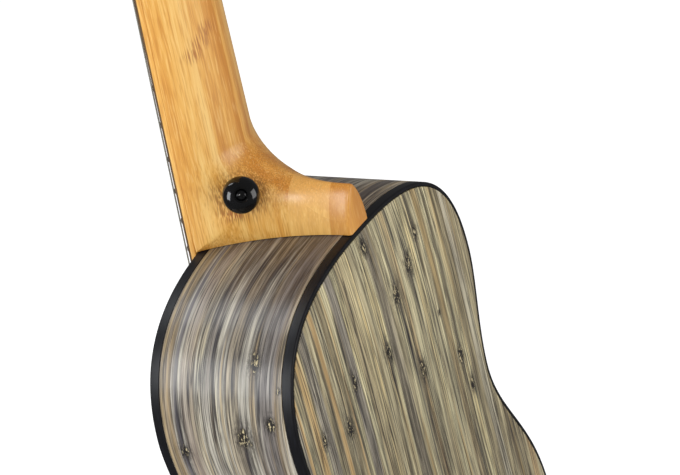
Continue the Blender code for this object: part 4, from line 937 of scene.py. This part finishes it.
pearl_finish = pearl("pearl_dots")
for number in dotted_frets:
    before = scale_length * (1 - 2 ** (-(number - 1) / 12))
    after = scale_length * (1 - 2 ** (-number / 12))
    middle = Matrix.Translation((0, board_face, fret_zero - (before + after) / 2))
    profile = [(0, 0.0001), (dot_radius - 0.0001, 0.0001), (dot_radius, 0.0)]
    profile += [(dot_radius, -0.0004), (0, -0.0004)]
    piece(f"position_dot_{number:02d}", turned(profile, 32, middle @ face_out), pearl_finish)

# Bridge and saddle. A tie bridge of oiled dark wood, glued to the soundboard, with a bone
# saddle let into its slot. The strings come through the holes in its tie block.

piece("bridge_oiled", cleaned("bridge", 0.0003), rosewood, replaces=["bridge"])
piece("saddle_bone", cleaned("saddle", 0.0002), bone_finish, replaces=["saddle"])

# Tuners. Open ones: a nickel plate with two lugs, a key whose shaft carries a worm, and a post
# with a brass gear wheel on its inner end. Two small screws hold each plate, and a flanged
# bushing guides each post.

post_places = {"g": (-0.0135, 0.032), "c": (-0.0135, 0.068), "e": (0.0135, 0.068), "a": (0.0135, 0.032)}
plate_back = 0.0128
worm_height = 0.0066
worm_depth = 0.0161
collar_end = 0.0340
key_button_size = (0.0150, 0.0070, 0.0120)
bore_radius = 0.0042
plate_screw_places = (-0.0062, 0.0132)
gear_back = 0.0200
plate_screw_head = (0.0021, 0.0011)
gear_screw_head = (0.0019, 0.0010)
nickel_finish = nickel("nickel_plated", paint(198, 194, 186), 0.20)
brass_finish = nickel("brass_gear", paint(214, 178, 104), 0.24)


def black_gloss(name, low, high):
    """Moulded black plastic, polished, with hair-fine scratches."""
    finish = Finish(name, specular_ior_level=0.3, coat_weight=0.5, coat_roughness=0.05)
    hairs = finish.grain(1500, 1500, 300, 3.0, 0.7)
    cloud = finish.grain(200, 200, 200, 2.0)
    finish.colour = finish.mix(cloud.eased(0.4, 0.7), paint(5, 5, 6), paint(11, 11, 13))
    finish.relief(hairs, 0.00002, 0.15)
    return finish.done(low + hairs * (high - low))


button_finish = black_gloss("black_gloss_plastic", 0.08, 0.20)


def slotted_screw(name, seat, radius, height, turn, body="ukulele"):
    """A round-headed screw on its seat with a stretch of its shank, its slot at an angle."""
    profile = [(0, height)] + arc((0, 0), radius, height, 90, 0, 6)[1:]
    profile += [(radius * 0.5, 0.0), (radius * 0.5, -0.0006), (0, -0.0006)]
    screw = piece(name, turned(profile, 32, seat), nickel_finish, body)
    low, high = (-0.003, -0.00025, height - 0.0005), (0.003, 0.00025, 0.002)
    cut(screw, block(low, high, seat @ Matrix.Rotation(turn, 4, "Z")))


def key_shaft(node, hand):
    """A key's shaft, worm and collar, without the button on its end."""
    bm = cleaned(node)
    parts = bm.verts[:] + bm.edges[:] + bm.faces[:]
    at = (hand * (collar_end + 0.0004), 0, 0)
    plane = {"plane_co": at, "plane_no": (hand, 0, 0), "clear_outer": True}
    bmesh.ops.bisect_plane(bm, geom=parts, dist=1e-7, **plane)
    return closed(bm)


def key_button(hand, rise):
    """The oval button on a key's end, rounded all over: its axis lies along the key's shaft."""
    length, thick, wide = (size / 2 for size in key_button_size)
    heights = [math.cos(math.pi * step / 32) for step in range(33)]
    profile = [(max(1 - abs(height) ** 2.3, 0) ** (1 / 2.1), height) for height in heights]
    x_row = (0, 0, hand * length, hand * (collar_end + length))
    y_row, z_row = (thick, 0, 0, worm_depth), (0, wide, 0, rise + worm_height)
    return turned(profile, 48, head_frame @ Matrix((x_row, y_row, z_row, (0, 0, 0, 1))))


to_head = head_frame.inverted()
bores = []
for string, (across, rise) in post_places.items():
    hand = math.copysign(1, across)
    name, key_body, post_body = f"tuner_{string}", f"key_{string}", f"post_{string}"
    for part, ease in (("plate", 0.00012), ("bushing", 0.0)):
        node = f"tuner_{part}_{string}"
        piece(f"{name}_{part}", cleaned(node, ease, 1), nickel_finish, replaces=[node])
    node = f"tuner_post_{string}"
    post = piece(f"{name}_post", cleaned(node), nickel_finish, post_body, [node])
    post.data.materials.append(brass_finish)
    for face in post.data.polygons:
        face.material_index = int((to_head @ face.center).y > plate_back + 0.001)
    node = f"tuning_key_{string}"
    piece(f"{name}_key", key_shaft(node, hand), nickel_finish, key_body, [node], 45)
    piece(f"{name}_button", key_button(hand, rise), button_finish, key_body)
    behind = head_frame @ Matrix.Translation((across, 0, rise)) @ Matrix.Rotation(-math.pi / 2, 4, "X")
    for number, height in enumerate(plate_screw_places):
        seat = behind @ Matrix.Translation((0, -height, plate_back))
        slotted_screw(f"{name}_screw_{number}", seat, *plate_screw_head, 0.6 + number)
    seat = behind @ Matrix.Translation((0, 0, gear_back))
    slotted_screw(f"{name}_gear_screw", seat, *gear_screw_head, 0.3, post_body)
    bore = [(0, -0.01), (bore_radius, -0.01), (bore_radius, 0.03), (0, 0.03)]
    bores.append(turned(bore, 48, behind))
cut(neck_piece, *bores)

# Strings. Clear nylon, each tied round the tie block, over the saddle and through its slot in
# the nut, and wound on its post away from the headstock.


def nylon(name):
    """Clear nylon with a slick surface, coloured a warm mid-grey: painted shade in place of its
    clearness.
    """
    finish = Finish(name, ior=1.53, coat_weight=0.3, coat_roughness=0.1)
    cloud = finish.grain(300, 300, 60, 2.0)
    # Painted shade: the clear strings are coloured a warm mid-grey.
    finish.colour = finish.mix(cloud.eased(0.35, 0.7), paint(150, 147, 138), paint(124, 120, 110))
    return finish.done(0.22 + cloud * 0.12)


nylon_finish = nylon("nylon_clear")
saddle_line = fret_zero - scale_length
tail_edge = saddle_line - 0.0135
tie_spread = 0.040
tie_block_face = -0.0075
tie_hole = -0.0055
saddle_crown = -0.0092
nut_spread = 0.028
nut_slot_floor = -0.0050
post_radius = 0.003
first_winding = 0.0032
windings = 2.25
winding_steps = 48
winding_gap = 0.0005
string_gauges = {"g": 0.0006, "c": 0.0008, "e": 0.00066, "a": 0.00056}


def string_route(string, index, diameter):
    """The string's middle line from its loop at the bridge to the end of its windings."""
    share = index / 3 - 0.5
    radius = diameter / 2
    tie, nut = tie_spread * share, nut_spread * share
    nut_depth = nut_slot_floor - radius
    over = tie_block_face - radius - 0.0001
    knots = (
        (tie + 0.0016, over, tail_edge + 0.0084),
        (tie + 0.0013, over, tail_edge + 0.0040),
        (tie + 0.0006, over, tail_edge + 0.0008),
        (tie + 0.0002, over + 0.0008, tail_edge - radius - 0.0003),
        (tie, tie_hole - 0.0005, tail_edge - radius - 0.0004),
        (tie, tie_hole, tail_edge + 0.0004),
        (tie, tie_hole, tail_edge + 0.0078),
        (tie, saddle_crown - radius, saddle_line),
        (nut, nut_depth, fret_zero),
        (nut, nut_depth, nut_top),
    )
    route = [Vector(knot) for knot in knots]
    across, rise = post_places[string]
    hand = math.copysign(1, across)
    start = to_head @ route[-1]
    coil = post_radius + gap + radius
    run = Vector((start.x - across, start.z - rise))
    first = math.atan2(run.y, run.x) - hand * math.acos(coil / run.length)
    for step in range(round(windings * winding_steps) + 1):
        turn = step / winding_steps
        angle = first - hand * 2 * math.pi * turn
        height = first_winding + (diameter + winding_gap) * turn
        spot = Vector((across + coil * math.cos(angle), -height, rise + coil * math.sin(angle)))
        route.append(head_frame @ spot)
    return route


for index, (string, diameter) in enumerate(string_gauges.items()):
    route = string_route(string, index, diameter)
    curve = bpy.data.curves.new(f"nylon_{string}", "CURVE")
    curve.dimensions = "3D"
    curve.bevel_depth = diameter / 2
    curve.bevel_resolution = 3
    curve.use_fill_caps = True
    spline = curve.splines.new("POLY")
    spline.points.add(len(route) - 1)
    for point, spot in zip(spline.points, route):
        point.co = (*spot, 1)
    piece(f"nylon_{string}", curve, nylon_finish, replaces=[f"string_{string}"])

# Strap buttons. Domed buttons of moulded black plastic, one on the heel's treble flank and one
# in the tail. A black cross-head screw, sunk in the middle of each, holds it to the wood.

button_radius = 0.0062
button_rim = 0.0049
button_dome = 0.0040
recess_floor = 0.0068
screw_radius = 0.0020
head_seat = 0.0069
head_height = 0.0011
slot_half = (0.0014, 0.00028)


def strap_button(seat):
    """The button as turned: foot, waist for the strap, rolled rim, dome and the screw's recess."""
    profile = [(0, 0.0001), (0.0043, 0.0), (0.0046, 0.0003), (0.0045, 0.0010), (0.0038, 0.0021)]
    profile += [(0.0034, 0.0030), (0.0035, 0.0041)]
    for step in range(1, 7):
        angle = math.pi / 2 * step / 6
        rise = 0.0045 + 0.0007 * math.sin(angle) - 0.0004 * math.cos(angle)
        profile.append((0.0057 - 0.0022 * math.cos(angle), rise))
    profile += arc((0, button_rim), button_radius, button_dome, 4, 64, 17)
    profile += [(0.00255, 0.00855), (0.0024, 0.0084), (0.0023, recess_floor), (0, recess_floor)]
    return turned(profile, 64, seat)


def button_screw(seat):
    """The screw's pan head in the recess, and its shank in the wood."""
    dome = arc((0, head_seat), screw_radius, head_height, 90, 0, 8)
    profile = [(0, head_seat + head_height)] + dome[1:]
    profile += [(0.0013, head_seat), (0.0013, -0.017), (0.0003, -0.0198), (0, -0.0198)]
    return turned(profile, 48, seat)


screw_finish = black_gloss("black_lacquered_steel", 0.08, 0.22)
heel_seat = Vector((0.0135384, 0.0163863, -0.1690596))
heel_axis = Vector((0.740602, 0.514564, 0.432127))
tail_seat = Vector((0, 0.0315, -0.4263))
for name, node, seat, axis, turn in (
    ("heel", "strap_button", heel_seat, heel_axis, 0.35),
    ("end", "end_button", tail_seat, Vector((0, 0, -1)), 0.76),
):
    at = Matrix.Translation(seat) @ axis.to_track_quat("Z", "Y").to_matrix().to_4x4()
    piece(f"{name}_button_dome", strap_button(at), button_finish, "ukulele", [node], 40)
    name, node = f"{name}_button_cross_screw", f"{node}_screw"
    screw = piece(name, button_screw(at), screw_finish, replaces=[node])
    cross = at @ Matrix.Rotation(turn, 4, "Z")
    for half_x, half_y in (slot_half, slot_half[::-1]):
        cut(screw, block((-half_x, -half_y, 0.0070), (half_x, half_y, 0.009), cross))

# Studio. A plain white floor, soft boxes on both sides of the camera and an even white
# surround. The surround is dimmer in reflections, so that the varnish keeps its colour.

eye = Vector((0.57211, 0.38757, 0.33380 + joint_height))
azimuth, elevation, roll = math.radians(121.123), math.radians(26.851), math.radians(-11.358)
level = Vector((math.cos(azimuth), math.sin(azimuth), 0))
back = Vector((level.y, -level.x, 0)) * math.cos(elevation) + Vector((0, 0, math.sin(elevation)))
rise = back.cross(level)
right = level * math.cos(roll) + rise * math.sin(roll)
up = rise * math.cos(roll) - level * math.sin(roll)
camera_data = bpy.data.cameras.new("camera")
camera_data.sensor_width = 36.0
camera_data.lens = 120.0
camera_data.clip_start = 0.01
camera = put("camera", camera_data)
camera.matrix_world = Matrix.Translation(eye) @ Matrix((right, up, back)).transposed().to_4x4()
bpy.context.scene.camera = camera

floor_height = -0.4352
floor_sheet = bmesh.new()
bmesh.ops.create_grid(floor_sheet, x_segments=1, y_segments=1, size=6.0)
bmesh.ops.translate(floor_sheet, vec=(0, 0, floor_height), verts=floor_sheet.verts)
floor = put("floor", floor_sheet)
floor_finish = Finish("floor_white", base_color=(0.86, 0.86, 0.86, 1.0), roughness=0.9)
floor_finish.surface.inputs["Emission Color"].default_value = (1, 1, 1, 1)
floor_finish.surface.inputs["Emission Strength"].default_value = 0.52
floor.data.materials.append(floor_finish.material)
floor.visible_glossy = False

shown = Vector((0.0, 0.03, -0.20))
for name, side, lift, near, width, height, power in (
    ("soft_box_left", -0.92, -0.06, 0.62, 0.38, 0.60, 5.1),
    ("soft_box_upper_left", -0.85, 1.05, 0.20, 0.50, 0.50, 4.2),
    ("soft_box_middle", -0.38, 0.0, 1.15, 0.22, 0.28, 3.2),
    ("soft_box_right", 0.92, 0.12, 0.45, 0.55, 0.60, 3.3),
    ("soft_box_top", 0.2, 1.9, 0.6, 1.4, 1.4, 4.2),
):
    light = bpy.data.lights.new(name, "AREA")
    light.shape = "RECTANGLE"
    light.size = width
    light.size_y = height
    light.energy = power
    light.color = (0.93, 0.965, 1.0) if side < -0.5 else (1.0, 0.985, 0.955)
    lamp = put(name, light)
    lamp.location = shown + right * side + up * lift + back * near
    lamp.rotation_mode = "QUATERNION"
    lamp.rotation_quaternion = (lamp.location - shown).to_track_quat("Z", "Y")
    lamp.visible_glossy = name != "soft_box_top"

world = bpy.data.worlds.new("studio")
world.use_nodes = True
bpy.context.scene.world = world
nodes = world.node_tree.nodes
links = world.node_tree.links
seen = nodes["Background"]
mirrored, lighting = nodes.new("ShaderNodeBackground"), nodes.new("ShaderNodeBackground")
for sky, strength in ((seen, 1.05), (mirrored, 0.16), (lighting, 0.36)):
    sky.inputs["Color"].default_value = (1, 1, 1, 1)
    sky.inputs["Strength"].default_value = strength
path = nodes.new("ShaderNodeLightPath")
reflected, choice = nodes.new("ShaderNodeMixShader"), nodes.new("ShaderNodeMixShader")
links.new(path.outputs["Is Glossy Ray"], reflected.inputs[0])
links.new(lighting.outputs[0], reflected.inputs[1])
links.new(mirrored.outputs[0], reflected.inputs[2])
links.new(path.outputs["Is Camera Ray"], choice.inputs[0])
links.new(reflected.outputs[0], choice.inputs[1])
links.new(seen.outputs[0], choice.inputs[2])
links.new(choice.outputs[0], nodes["World Output"].inputs[0])
bpy.context.scene.view_settings.view_transform = "Standard"
